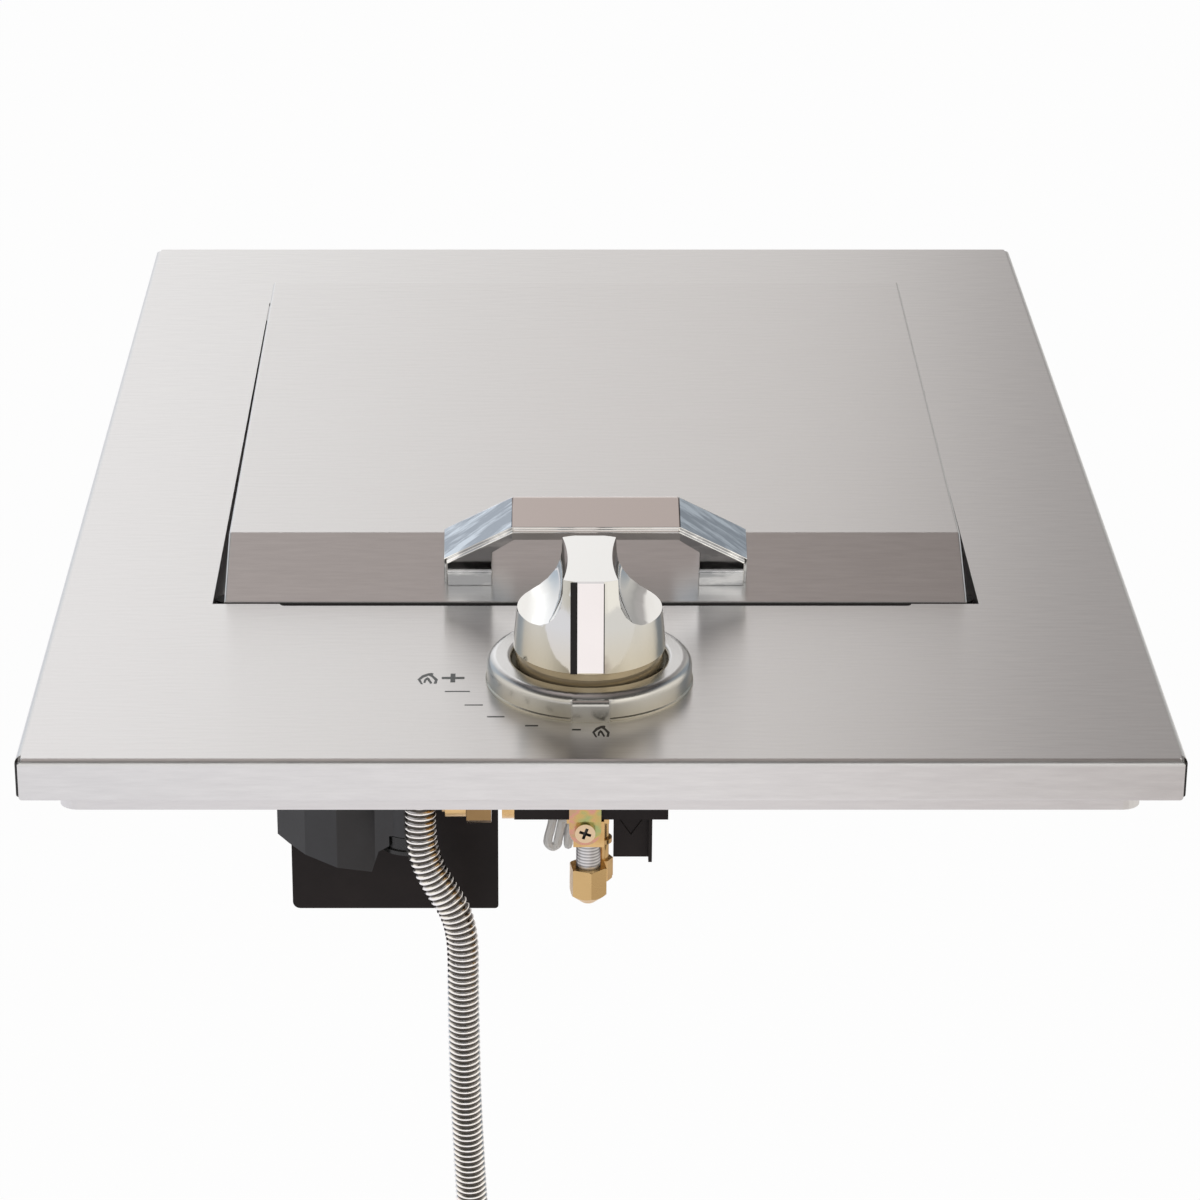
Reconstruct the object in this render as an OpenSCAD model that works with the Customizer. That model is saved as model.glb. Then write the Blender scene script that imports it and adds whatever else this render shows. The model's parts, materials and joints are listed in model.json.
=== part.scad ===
// Built-in side burner: a stainless deck plate that drops into a counter cut-out, a flat hinged
// lid with a cast handle, a push-and-turn gas tap with its knob and bezel, and the gas and
// ignition parts that hang below the front edge.
// Frame: millimetres, +Z up, the front towards -Y, +X to the right. The origin is the middle
// of the deck, on the counter plane that the skirt rests on.

/* [Deck] */
// Width of the deck plate, side to side
deck_w = 362; // [350:1:400]
// Depth of the deck plate, front to back
deck_d = 508; // [500:1:540]
// Height of the folded skirt, counter to deck top
skirt_h = 14; // [12:0.5:18]
// Thickness of the deck and frame sheet
sheet_t = 1.2; // [1:0.1:1.6]
// Outside radius of the folded edges
fold_r = 2; // [1.8:0.1:3]
// Width of the return flange that rests on the counter
return_w = 8; // [5:0.5:9]
// Gap left open at the skirt's corner seams
seam_gap = 1; // [0.4:0.1:1.2]
// Inset of the drop-in frame behind the skirt
frame_inset = 11.6; // [11:0.1:16]
// Depth of the drop-in frame below the counter plane
frame_drop = 8.4; // [5:0.1:14]
// Corner radius of the drop-in frame
frame_r = 6; // [4:0.5:12]
// Width of the drop-in frame's flanges
frame_flange = 9; // [6:0.5:12]

/* [Opening and burner box] */
// Front edge of the lid opening, from the front of the deck
open_front = 123; // [120:0.5:130]
// Depth of the deck behind the lid opening
deck_rear = 72; // [66:0.5:76]
// Width of the deck beside the lid opening
deck_side = 52.2; // [50:0.2:56]
// Clearance between the lid and the opening on each side
lid_gap = 3.7; // [3:0.1:6]
// Distance of the turned-down lip's ends from the sides of the opening
lip_inset = 24.3; // [18:0.1:36]
// Height of the turned-down lip
lip_h = 8; // [5:0.5:12]
// Set-back of the turned-down lip
lip_setback = 1.6; // [1:0.1:2.5]
// Clearance between the mixing tube and the floor of the burner box
box_clear = 10; // [8:0.5:14]
// Thickness of the burner box sheet
box_t = 1; // [0.8:0.1:1.4]
// Width of the burner box's top flange
box_flange = 12; // [10:0.5:16]
// Number of air slots in each row of the box floor
slot_count = 6; // [3:1:6]
// Width of an air slot
slot_w = 4; // [3:0.5:6]

/* [Lid] */
// Thickness of the lid sheet
lid_t = 1; // [0.8:0.1:1.4]
// Running gap between the lid and the front of the opening
lid_front_gap = 1; // [0.8:0.1:2]
// Run of the lid's sloped front face
lid_slope_run = 30.6; // [28:0.2:36]
// Height of the fold above the deck
lid_fold_h = 13.1; // [11:0.1:16]
// Height of the lid's back edge above the deck
lid_back_h = 17.6; // [16:0.1:20]
// Gap behind the lid's back wall, for the hinge
lid_back_gap = 25; // [24:0.5:28]
// Depth of the lid's front lip and side walls below the deck top
lid_lip = 4.5; // [3:0.5:6]
// Distance of the hinge axis behind the lid's back wall
hinge_back = 13; // [11:0.5:15]
// Depth of the hinge axis below the deck top
hinge_drop = 5; // [4:0.5:6]
// Radius of the hinge pins
hinge_pin_r = 2.5; // [2:0.1:3.5]
// Thickness of the hinge plates
hinge_t = 2; // [1.5:0.1:2.5]

/* [Handle] */
// Span of the handle over its feet
handle_span = 102; // [90:1:120]
// Span of the handle's flat top bar
handle_top_span = 56; // [44:1:66]
// Height of the handle's outer face above the lid
handle_h = 26.4; // [22:0.2:34]
// Height at which the outer face starts to slant
handle_leg_h = 11.3; // [8:0.1:14]
// Thickness of the handle's top bar
handle_bar_t = 4.6; // [3.6:0.1:7]
// Width of a handle foot along the handle
handle_foot_w = 16.2; // [12:0.2:20]
// Width of the handle bar
handle_w = 17.2; // [14:0.1:19]
// Bevel on the handle's outer edges
handle_bevel = 1.4; // [0.5:0.1:1.8]
// Height of the handle's foot pads
handle_pad_h = 6.4; // [4:0.2:8]

/* [Knob and bezel] */
// Sideways offset of the tap from the deck's centre line
tap_x = -2.9; // [-8:0.1:8]
// Distance of the tap from the front of the deck
tap_y = 61.5; // [58:0.5:66]
// Radius of the knob's skirt
knob_r = 24.4; // [22:0.1:26]
// Radius at the knob's top
knob_top_r = 19.8; // [17:0.1:22]
// Height of the knob's top above the deck
knob_top = 42; // [36:0.2:46]
// Height of the knob skirt's lower edge above the deck
knob_low = 12.4; // [12:0.1:14]
// Height of the floor of the two finger scoops
scoop_floor = 25.4; // [22:0.2:28]
// Radius of the cove between a scoop's floor and the grip
scoop_cove = 11; // [6:0.5:12]
// Width of the grip at its waist
grip_waist = 14.2; // [12:0.2:18]
// Width of the grip at its ends
grip_end = 18; // [16:0.2:24]
// Width of the flat panel on each end of the grip
panel_w = 8.3; // [6:0.1:10]
// Width of the dark line beside the panel
line_w = 2.2; // [1.2:0.1:3]
// Travel of the knob when it is pushed in
push_travel = 3; // [2:0.5:3]
// Outer radius of the bezel ring
bezel_r = 33; // [31:0.1:36]
// Radial gap between the bezel and the knob
bezel_gap = 0.6; // [0.4:0.1:1.2]
// Height of the bezel ring
bezel_h = 8.7; // [7:0.1:9]
// Width of the raised tab on the bezel's front
bezel_tab_w = 11.5; // [8:0.5:16]

/* [Gas tap and manifold] */
// Side of the square manifold tube
rail_s = 16; // [14:0.5:17]
// Length of the manifold
rail_len = 50; // [44:1:56]
// Distance of the manifold's right end from the tap axis
rail_right = 25.8; // [22:0.2:30]
// Depth of the manifold's underside below the deck top
rail_low = 46.5; // [45:0.5:48]
// Width of the tap body
tap_w = 14; // [12:0.5:18]
// Radius of the tap's barrel
tap_barrel_r = 9; // [8.5:0.1:9.5]
// Radius of the rotating plug
plug_r = 6; // [5:0.1:7]
// Height of the rotating plug
plug_h = 12; // [8:0.5:13]
// Radius of the tap's stem
stem_r = 3.5; // [3:0.1:4]
// Radial clearance of the turning and sliding fits
run_fit = 0.05; // [0.02:0.01:0.1]
// Radius of the threaded nipple below the tap
nipple_r = 4; // [3:0.1:5]
// Length of the nipple below the tap boss
nipple_len = 14; // [12:0.5:18]
// Width across flats of the brass cap nut
cap_af = 11.2; // [9.6:0.1:14]
// Height of the brass cap nut
cap_h = 13; // [10:0.2:16]
// Outside radius of the burner's mixing tube
venturi_r = 10; // [9:0.5:11]
// Wall of the mixing tube
venturi_t = 1.2; // [1:0.1:1.6]
// Depth of the mixing tube's axis below the deck top
venturi_drop = 50; // [48:0.5:52]

/* [Inlet and hose] */
// Radius of the brass inlet collar
collar_r = 9; // [8:0.2:10]
// Width across flats of the inlet nut
inlet_af = 20; // [19:0.5:24]
// Outer radius of the corrugated hose at its ribs
hose_r = 5.4; // [5:0.1:6]
// Depth of the hose's corrugations
rib_depth = 1; // [0.6:0.1:1.4]
// Radius of the hose's bore
hose_bore_r = 3.6; // [3:0.1:3.8]
// Number of ribs along the hose
rib_count = 128; // [80:1:160]
// Radius of the nut's thread, which takes a quarter inch flare fitting
gas_thread_r = 5.56; // [5:0.01:6.5]
// Width across flats of the nut at the hose's free end
hose_nut_af = 16; // [15:0.5:20]

/* [Ignition] */
// Width of the ignition module
module_w = 56; // [52:1:60]
// Depth of the ignition module, front to back
module_d = 28; // [24:0.5:29]
// Height of the module's left side
module_h = 52; // [46:1:54]
// Extra depth of the module at the foot of its slant
module_slant = 12; // [8:0.5:16]
// Radius of the battery cap
battery_cap_r = 9.5; // [9:0.1:11]
// Radius of the battery
battery_r = 7.1; // [6.5:0.1:7.2]
// Length of the battery
battery_len = 50; // [44:0.5:52]
// Thickness of the black brackets
bracket_t = 1.2; // [1:0.1:1.6]
// Width of the module bracket
bracket_w = 70; // [66:0.5:74]
// Depth of the module bracket below the deck top
bracket_drop = 102.5; // [98:0.5:108]
// Radius of the ignition leads
lead_r = 1.5; // [1.2:0.1:1.6]

/* [Burner and grate] */
// Distance of the burner's axis behind the middle of the opening
burner_back = 4.5; // [0:0.5:8]
// Radius of the burner head
burner_r = 42; // [36:1:48]
// Height of the burner head
burner_h = 24; // [20:1:26]
// Number of flame ports
port_count = 28; // [16:1:36]
// Thickness of the burner cap
burner_cap_t = 6; // [4:0.5:8]
// Gap between the grate and each side of the burner box
grate_side = 10.8; // [8:0.1:12.8]
// Gap between the grate and each end of the burner box
grate_end = 38.5; // [30:0.5:44]
// Section of the grate's bars
grate_bar = 8; // [6:0.5:10]
// Depth of the grate's top below the deck top
grate_drop = 7; // [6:0.5:10]

/* [Hidden] */

// Shared values
cut = 1;
seat_gap = 0.3;
round_fn = 96;
small_fn = 36;
corner_steps = 5;

// Levels and lines
top = skirt_h;
deck_under = top - sheet_t;
front = -deck_d / 2;
open_w = deck_w - 2 * deck_side;
open_y0 = front + open_front;
open_y1 = -front - deck_rear;
lip_w = open_w - 2 * lip_inset;

// Corners of the skirt's ends, cut at the top and rounded at the bottom
seam_corner = 1.6;

// Burner box
box_wall_gap = 0.3;
box_y0 = open_y0 - lip_setback - sheet_t - box_wall_gap;
box_depth = venturi_drop + venturi_r + box_clear;
box_floor = top - box_depth;
slot_row_gap = 70;
slot_margin = 20.8;
slot_bridge = 10;
slot_pitch = (open_w - 2 * slot_margin) / slot_count;
slot_len = slot_pitch - slot_bridge;

// Grate and its ledges
grate_top = top - grate_drop;
ledge_top = grate_top - grate_bar - seat_gap;
ledge_w = 16;
ledge_t = 1.2;
ledge_front = 6;
ledge_back = 45;
ledge_y0 = open_y0 + ledge_front;
ledge_len = open_y1 - ledge_back - ledge_y0;
grate_w = open_w - 2 * grate_side;
grate_d = open_y1 - open_y0 - 2 * grate_end;
grate_finger_w = 6;
grate_ring_r = 27;
grate_ring_w = 6;

// Lid
lid_w = open_w - 2 * lid_gap;
lid_y0 = open_y0 + lid_front_gap;
lid_y1 = open_y1 - lid_back_gap;
lid_fold_y = lid_y0 + lid_slope_run;
lid_low = top - lid_lip;
lid_edge_r = 1.4;
slope = atan(lid_fold_h / lid_slope_run);
hinge_y = lid_y1 + hinge_back;
hinge_z = top - hinge_drop;
arm_x = lid_w / 2 - lid_t;
arm_eye_r = 6;
arm_len = 34;
arm_h = 13;
arm_notch_gap = 0.5;
arm_notch_rise = 2.6;
pin_head_r = 4;
pin_head_t = 1.5;
pin_shoulder_r = 3.6;
bracket_half = 9;
bracket_low = 13;
bumper_r = 3.8;
bumper_in = 3.9;
bumper_front = 16;
bumper_back = 73;

// Handle
handle_fillet = 1;
handle_groove = 0.6;
handle_inner_leg_share = 0.72;
handle_inner_top_share = 0.49;
handle_screw_r = 2.5;
handle_screw_len = 9;
handle_head_r = 4.4;
handle_head_t = 2.6;
screw_fit = 0.05;

// Knob and bezel
tap_y0 = front + tap_y;
bezel_floor_t = 1.5;
bezel_in_r = knob_r + bezel_gap;
bezel_hole_r = 7;
bezel_crown = 3.2;
bezel_bead = 0.4;
bezel_tab_low = 1.5;
bezel_tab_h = bezel_h - bezel_tab_low;
bezel_tab_proud = 0.8;
bezel_tab_round = 1.8;
bezel_groove = 0.5;
bezel_screw_at = 14;
bezel_screw_r = 1.5;
bezel_head_r = 2.8;
bezel_head_t = 1.1;
bezel_nut_t = 2.4;
knob_push_gap = 0.5;
knob_base = bezel_floor_t + push_travel + knob_push_gap;
knob_collar_in = 0.7;
knob_bulge = 0.8;
knob_steps = 10;
knob_wall = 3;
knob_hub_r = 8;
knob_cavity_top = 22;
knob_lean = atan((knob_r - knob_top_r) / (knob_top - knob_low));
panel_depth = 0.6;
line_t = 0.5;
stem_top = 30;
stem_flat_share = 0.6;
stem_tip_gap = 0.4;
deck_hole_r = 9;

// Gas tap and manifold
rail_z0 = top - rail_low;
rail_z1 = rail_z0 + rail_s;
rail_x1 = tap_x + rail_right;
rail_x0 = rail_x1 - rail_len;
rail_wall = 1.6;
rail_end_t = 5;
barrel_drop = 14;
barrel_top = top - barrel_drop;
web_t = 8;
web_drop = 56;
web_low = top - web_drop;
web_y0 = tap_y0 + rail_s / 2 + seat_gap;
boss_w = 10;
strap_y = tap_y0 - tap_barrel_r;
strap_w = 10.4;
strap_t = 1.2;
strap_side = -1.2;
strap_step = 3.6;
strap_proud = 1;
lug_r = 5.2;
lug_drop = 49.5;
lug_z = top - lug_drop;
strap_screw_r = 2;
strap_screw_len = 11;
strap_head_r = 3.3;
strap_head_t = 2.2;
phillips_w = 1;
phillips_l = 4;
phillips_d = 1.3;
phillips_turn = 20;
cover_t = 2;
cover_w = 30;
cover_ear = 4;
cover_back = 13;
strap_tab = tap_barrel_r - cover_ear - seat_gap;
cover_screw_at = 11.8;
cover_screw_r = 1.2;
plug_gap = 0.7;
stem_depth = 6;
outlet_boss_r = 6;
outlet_boss_len = 6;
outlet_z = top - venturi_drop;
nipple_z1 = web_low;
cap_bore = 3;
cap_z1 = nipple_z1 - nipple_len + cap_bore;
cap_chamfer = 0.3;
cap_tip_r = 2.4;
cap_tip_h = 3.4;
cap_turn = 39;
bypass_x = 4.7;
bypass_r = 3.7;
bypass_len = 21.7;
bypass_hex_len = 7.4;
bypass_shaft_share = 0.62;
bypass_slot = 0.8;
bypass_collar_share = 0.62;
bypass_collar_r_share = 0.9;
switch_w = 16;
switch_d = 11;
switch_h = 8.5;
switch_lever = 3;
switch_behind = 8;
switch_y0 = tap_y0 + switch_behind;

// Inlet chain, centred on its own axis left of the manifold
inlet_drop = 40;
inlet_z = top - inlet_drop;
collar_len = 4;
neck_r = 6;
neck_len = 3.5;
spigot_r = 4.6;
inlet_nut_len = 8;
elbow_r = 8.4;
elbow_leg_r = 6.8;
elbow_block_len = 7;
elbow_reach = 8.4;
elbow_drop = 2;
elbow_gap = 0.2;
inlet_bore_r = 3;
inlet_nut_x1 = rail_x0 - collar_len - neck_len;
inlet_nut_x0 = inlet_nut_x1 - inlet_nut_len;
hose_x = inlet_nut_x0 - elbow_block_len - elbow_reach;
hose_z = inlet_z - elbow_drop;

// The hose's centreline, measured from the elbow's mouth down to its free end
HOSE_ROUTE = [
    [0, 0, 0], [0, 0, -5.5], [0, 0, -11], [0.8, 0, -19], [3.1, 0, -26.6], [6.8, 0, -33.7],
    [10.6, 0, -40.8], [12.9, 0, -48.4], [13.7, 0, -56.4], [13.7, 0, -66], [13.8, 0.1, -82],
    [14.3, 0.5, -112], [15.5, 1.5, -142], [17, 2.5, -172], [18.1, 3.5, -202], [18.5, 4, -232],
    [18.5, 4, -252], [18.5, 4, -265]
];
hose_line = [for (p = HOSE_ROUTE) p + [hose_x, tap_y0, hose_z]];
hose_sides = 8;
bore_rings = 40;
hose_nut_len = 16;
hose_flare_len = 5;

// Ignition
module_front = 71;
module_side = 103.1;
module_x0 = tap_x - module_side;
module_drop = 13;
module_top = top - module_drop;
module_y0 = front + module_front;
plate_y0 = module_y0 + module_d;
plate_side = 3.2;
plate_x0 = module_x0 + plate_side;
plate_corner = 5;
plate_flange = 14;
holder_side = 43.5;
holder_x = module_x0 + holder_side;
holder_front = 13;
holder_y = module_y0 + holder_front;
holder_t = 1.6;
holder_drop = 64;
holder_low = top - holder_drop;
battery_fit = 0.2;
cap_grip_h = 6;
cap_rim_h = 1.4;
stud_r = 2;
stud_nut_r = 4;
stud_nut_t = 3;
stud_len = 8;
stud_shares = [0.2, 0.8];

// Manifold bracket
rail_plate_side = 8.4;
rail_plate_x0 = tap_x + rail_plate_side;
rail_plate_w = 11.5;
rail_plate_drop = 68;
rail_plate_low = top - rail_plate_drop;
rail_leg = 4;
rail_leg_extra = 0.6;
rail_plate_y0 = tap_y0 + rail_s / 2;
rail_flange = 14;
notch_w = 9;
notch_side_h = 6.8;
notch_h = 13.5;

// Centreline of the switch's lead, folded behind the manifold, measured from the tap's line on
// the deck's front top edge
lead_sides = 8;
SWITCH_ROUTE = [
    [-8.3, 76, -8], [-10.6, 76.4, -8.8], [-11.6, 77.6, -14], [-11.4, 79, -26],
    [-10.8, 80, -42], [-11.4, 80, -58], [-13.1, 80, -66.6], [-12.8, 80, -68.7],
    [-11.5, 80, -69.6], [-10.1, 80, -68.7], [-9.7, 80, -66.6], [-8.6, 80, -61],
    [-8.3, 80, -59.9], [-6.9, 80, -59.3], [-5.5, 80, -59.9], [-5.2, 80, -61],
    [-6.2, 80, -66.6], [-6.4, 80.4, -68.8], [-6.4, 81.8, -69.5], [-6.4, 83.2, -68.8],
    [-6.6, 83.7, -66.6], [-8.6, 84.4, -59], [-13.6, 86, -50], [-21.6, 87, -41],
    [-33.6, 87, -34], [-43.6, 86.6, -31], [-50.6, 86.6, -30]
];

// Centreline of the electrode's lead: the first points are measured as above, and the last ones
// from the foot of the electrode's ceramic
LEAD_FRONT = [
    [-50.6, 94, -22], [-44.6, 94, -22], [-35.6, 95, -19], [-17.6, 98, -14],
    [12.4, 104, -12], [28.4, 110, -15], [34.4, 116, -19], [36.4, 123, -20],
    [36.4, 130, -20], [36.4, 142, -26], [38.4, 164, -44]
];
LEAD_BACK = [
    [7.9, -54.1, 0], [7.9, -24.1, -7], [5.9, -10.1, -8], [2.9, -3.1, -7.5],
    [0.9, -0.6, -5.5], [0, 0, -2.3]
];
lead_origin = [tap_x, front, top];
lead_hole_at = 7;
lead_hole = LEAD_FRONT[lead_hole_at] + lead_origin;
lead_hole_r = 2.4;

// Burner
burner_y0 = (open_y0 + open_y1) / 2 + burner_back;
burner_drop = 62;
burner_z0 = top - burner_drop;
burner_z1 = burner_z0 + burner_h;
burner_wall = 4;
burner_foot_r = 30;
burner_round = 3;
port_r = 1.3;
port_fn = 16;
burner_cap_flat_share = 0.6;
burner_cap_edge_r = 1;
port_drop = 5;
boss_wall = 1.6;
boss_r = venturi_r + boss_wall;
boss_len = 16;
throat_w = 12;
burner_cap_skirt = 4;
cap_fit = 0.4;
stand_w = 22;
stand_len = 96;
stand_t = 1.6;
stand_foot = 12;
stand_screw_at = 14;
stand_screw_r = 2;
stand_head_r = 3.4;
stand_head_t = 1.8;
bell_front = 98;
venturi_y0 = front + bell_front;
venturi_into = 10;
venturi_y1 = burner_y0 - burner_r - boss_len + venturi_into;
bell_r = 12.5;
bell_t = 3;
air_set = 2;
air_y0 = venturi_y0 + bell_t + air_set;
air_len = 8;
air_w = 10;
shutter_t = 1.1;
shutter_len = 12;
shutter_tab = 5;
orifice_af = 10;
orifice_hex_len = 8;
orifice_tip_r = 3.6;
orifice_tip_len = 9;
venturi_mouth_r = 4.4;
electrode_angle = -50;
electrode_gap = 1.9;
ceramic_r = 3;
ceramic_len = 20;
electrode_pin_r = 0.9;
electrode_pin_low = 2;
electrode_pin_high = 5;
electrode_tip = 3.5;
electrode_plate_w = 10;
electrode_lift = 4;
electrode_x = (burner_r + electrode_gap + ceramic_r) * cos(electrode_angle);
electrode_y = burner_y0 + (burner_r + electrode_gap + ceramic_r) * sin(electrode_angle);
ceramic_z0 = burner_z0 + electrode_lift;

// Small helpers
module block(lo, hi) {
    translate(lo) cube(hi - lo);
}

module rod_x(r, x0, x1, y, z, fn = small_fn) {
    translate([x0, y, z]) rotate([0, 90, 0]) cylinder(r = r, h = x1 - x0, $fn = fn);
}

module rod_y(r, y0, y1, x, z, fn = small_fn) {
    translate([x, y0, z]) rotate([-90, 0, 0]) cylinder(r = r, h = y1 - y0, $fn = fn);
}

module rod_z(r, z0, z1, x, y, fn = small_fn) {
    translate([x, y, z0]) cylinder(r = r, h = z1 - z0, $fn = fn);
}

// A hexagon's corner radius from its width across flats
function hex_r(af) = af / 2 / cos(30);

// Draws a profile in y and z and gives it a width along x
module along_x(x0, x1) {
    translate([x0, 0, 0]) rotate([90, 0, 90]) linear_extrude(x1 - x0) children();
}

function unit(v) = v / norm(v);

// One corner of an outline, as an arc of radius r
function corner(a, b, c, r) =
    r == 0 ? [b] :
    let (
        u = unit(a - b),
        v = unit(c - b),
        half = acos(u * v) / 2,
        centre = b + unit(u + v) * r / sin(half),
        from = b + u * r / tan(half) - centre,
        to = b + v * r / tan(half) - centre,
        a0 = atan2(from.y, from.x),
        turn = (atan2(to.y, to.x) - a0 + 540) % 360 - 180
    )
    [for (i = [0:corner_steps]) let (t = a0 + turn * i / corner_steps) centre + r * [cos(t), sin(t)]];

// An outline whose points are [x, y, radius]
function rounded(p) = [
    for (i = [0:len(p) - 1])
        let (
            a = p[(i + len(p) - 1) % len(p)],
            b = p[i],
            c = p[(i + 1) % len(p)]
        )
        each corner([a.x, a.y], [b.x, b.y], [c.x, c.y], b[2])
];

// A rounded rectangle about the origin
function rect_points(w, d, r) = rounded([
    [-w / 2, -d / 2, r], [w / 2, -d / 2, r], [w / 2, d / 2, r], [-w / 2, d / 2, r]
]);

// Swept tubes: a smooth line through the route's points, and rings square to it
function spline(p, i, t) =
    let (
        a = p[max(i - 1, 0)],
        b = p[i],
        c = p[i + 1],
        d = p[min(i + 2, len(p) - 1)]
    )
    b + t / 2 * (c - a) + t * t / 2 * (2 * a - 5 * b + 4 * c - d) + t * t * t / 2 * (3 * b - a - 3 * c + d);

spline_steps = 6;

function smooth(p) = concat(
    [for (i = [0:len(p) - 2]) for (k = [0:spline_steps - 1]) spline(p, i, k / spline_steps)],
    [p[len(p) - 1]]
);

// Running length along a line, and the point at a given length
function lengths(p, i = 0, so_far = 0, out = []) =
    i == len(p) - 1 ? concat(out, [so_far]) :
    lengths(p, i + 1, so_far + norm(p[i + 1] - p[i]), concat(out, [so_far]));

function point_at(p, s, want) =
    let (
        i = max([for (k = [0:len(s) - 2]) if (s[k] <= want) k]),
        t = (want - s[i]) / (s[i + 1] - s[i])
    )
    p[i] + t * (p[i + 1] - p[i]);

function ring(p, i, r, sides, across) =
    let (
        t = unit(p[min(i + 1, len(p) - 1)] - p[max(i - 1, 0)]),
        u = unit(cross(t, across)),
        v = cross(u, t)
    )
    [for (k = [0:sides - 1]) p[i] + r * (cos(360 * k / sides) * u + sin(360 * k / sides) * v)];

function walls(rings, sides, start = 0) = [
    for (i = [0:rings - 2]) for (k = [0:sides - 1])
        let (a = start + i * sides + k, b = start + i * sides + (k + 1) % sides)
        each [[a, b, b + sides], [a, b + sides, a + sides]]
];

function turned(faces) = [for (f = faces) [f[2], f[1], f[0]]];

// A plain tube that follows the points
module tube(p, r, sides, across) {
    n = len(p);
    last = (n - 1) * sides;
    points = [for (i = [0:n - 1]) each ring(p, i, r, sides, across)];
    polyhedron(points, concat(
        walls(n, sides),
        [for (k = [1:sides - 2]) [0, k + 1, k]],
        [for (k = [1:sides - 2]) [last, last + k, last + k + 1]]
    ));
}

// A corrugated tube with a bore: two rings a rib, crest and root
module ribbed_hose(route) {
    line = smooth(route);
    run = lengths(line);
    total = run[len(run) - 1];
    n = 2 * rib_count + 1;
    outer = [for (i = [0:n - 1]) point_at(line, run, total * i / (n - 1))];
    inner = [for (i = [0:bore_rings - 1]) point_at(line, run, total * i / (bore_rings - 1))];
    base = n * hose_sides;
    last = (n - 1) * hose_sides;
    bore_last = base + (bore_rings - 1) * hose_sides;
    points = concat(
        [for (i = [0:n - 1]) each ring(outer, i, hose_r - (i % 2) * rib_depth, hose_sides, [0, 1, 0])],
        [for (i = [0:bore_rings - 1]) each ring(inner, i, hose_bore_r, hose_sides, [0, 1, 0])]
    );
    polyhedron(points, concat(
        walls(n, hose_sides),
        turned(walls(bore_rings, hose_sides, base)),
        [for (k = [0:hose_sides - 1]) let (m = (k + 1) % hose_sides)
            each [[m, k, base + k], [m, base + k, base + m]]],
        [for (k = [0:hose_sides - 1]) let (m = (k + 1) % hose_sides)
            each [[last + k, last + m, bore_last + m], [last + k, bore_last + m, bore_last + k]]]
    ));
}

// Deck plate with its folded skirt, return flange and lid opening
edge_points = rounded([
    [-fold_r - cut, top, 0], [-fold_r - cut, deck_under, 0], [-sheet_t, deck_under, fold_r - sheet_t],
    [-sheet_t, sheet_t, 0], [-return_w, sheet_t, 0], [-return_w, 0, 0], [0, 0, sheet_t],
    [0, top, fold_r]
]);

module skirt(length, out) {
    half = length / 2;
    intersection() {
        translate([0, out, 0]) along_x(-half, half) polygon(edge_points);
        translate([0, out + cut, 0]) rotate([90, 0, 0]) linear_extrude(return_w + 2 * cut) polygon(rounded([
            [-half, 0, seam_corner], [half, 0, seam_corner], [half, top - seam_corner, 0],
            [half - seam_corner, top, 0], [seam_corner - half, top, 0], [-half, top - seam_corner, 0]
        ]));
    }
}

module deck_panel() color("silver") {
    difference() {
        block(
            [-deck_w / 2 + fold_r, front + fold_r, deck_under],
            [deck_w / 2 - fold_r, -front - fold_r, top]
        );
        block([-open_w / 2, open_y0, deck_under - cut], [open_w / 2, open_y1, top + cut]);
        block(
            [-lip_w / 2, open_y0 - lip_setback, deck_under - cut],
            [lip_w / 2, open_y0 + cut, top + cut]
        );
        for (s = [-1, 1])
            rod_z(lip_setback, deck_under - cut, top + cut, s * lip_w / 2, open_y0);
        rod_z(deck_hole_r, deck_under - cut, top + cut, tap_x, tap_y0);
        for (s = [-1, 1])
            rod_z(bezel_screw_r + screw_fit, deck_under - cut, top + cut, tap_x + s * bezel_screw_at, tap_y0);
    }
    for (m = [0, 1])
        mirror([0, m, 0]) skirt(deck_w - 2 * seam_gap, deck_d / 2);
    for (s = [-90, 90])
        rotate([0, 0, s]) skirt(deck_d - 2 * (sheet_t + seam_gap), deck_w / 2);
    block(
        [-lip_w / 2, open_y0 - lip_setback - sheet_t, deck_under - lip_h],
        [lip_w / 2, open_y0 - lip_setback, deck_under]
    );
}

// Frame that drops into the counter cut-out
module frame_ring(inset, wide, z0, z1) {
    w = deck_w - 2 * inset;
    d = deck_d - 2 * inset;
    translate([0, 0, z0]) linear_extrude(z1 - z0) difference() {
        polygon(rect_points(w, d, frame_r));
        polygon(rect_points(w - 2 * wide, d - 2 * wide, max(frame_r - wide, sheet_t)));
    }
}

module drop_in_frame() color("gainsboro") {
    frame_ring(frame_inset, sheet_t, -frame_drop, deck_under);
    frame_ring(frame_inset, frame_flange, -frame_drop, -frame_drop + sheet_t);
    frame_ring(frame_inset, frame_flange, deck_under - sheet_t, deck_under);
}

// Burner box, spot-welded below the opening
module slot(x, y) {
    block([x - slot_len / 2, y - slot_w / 2, box_floor - cut], [x + slot_len / 2, y + slot_w / 2, box_floor + box_t + cut]);
    for (s = [-1, 1])
        rod_z(slot_w / 2, box_floor - cut, box_floor + box_t + cut, x + s * slot_len / 2, y);
}

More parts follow.
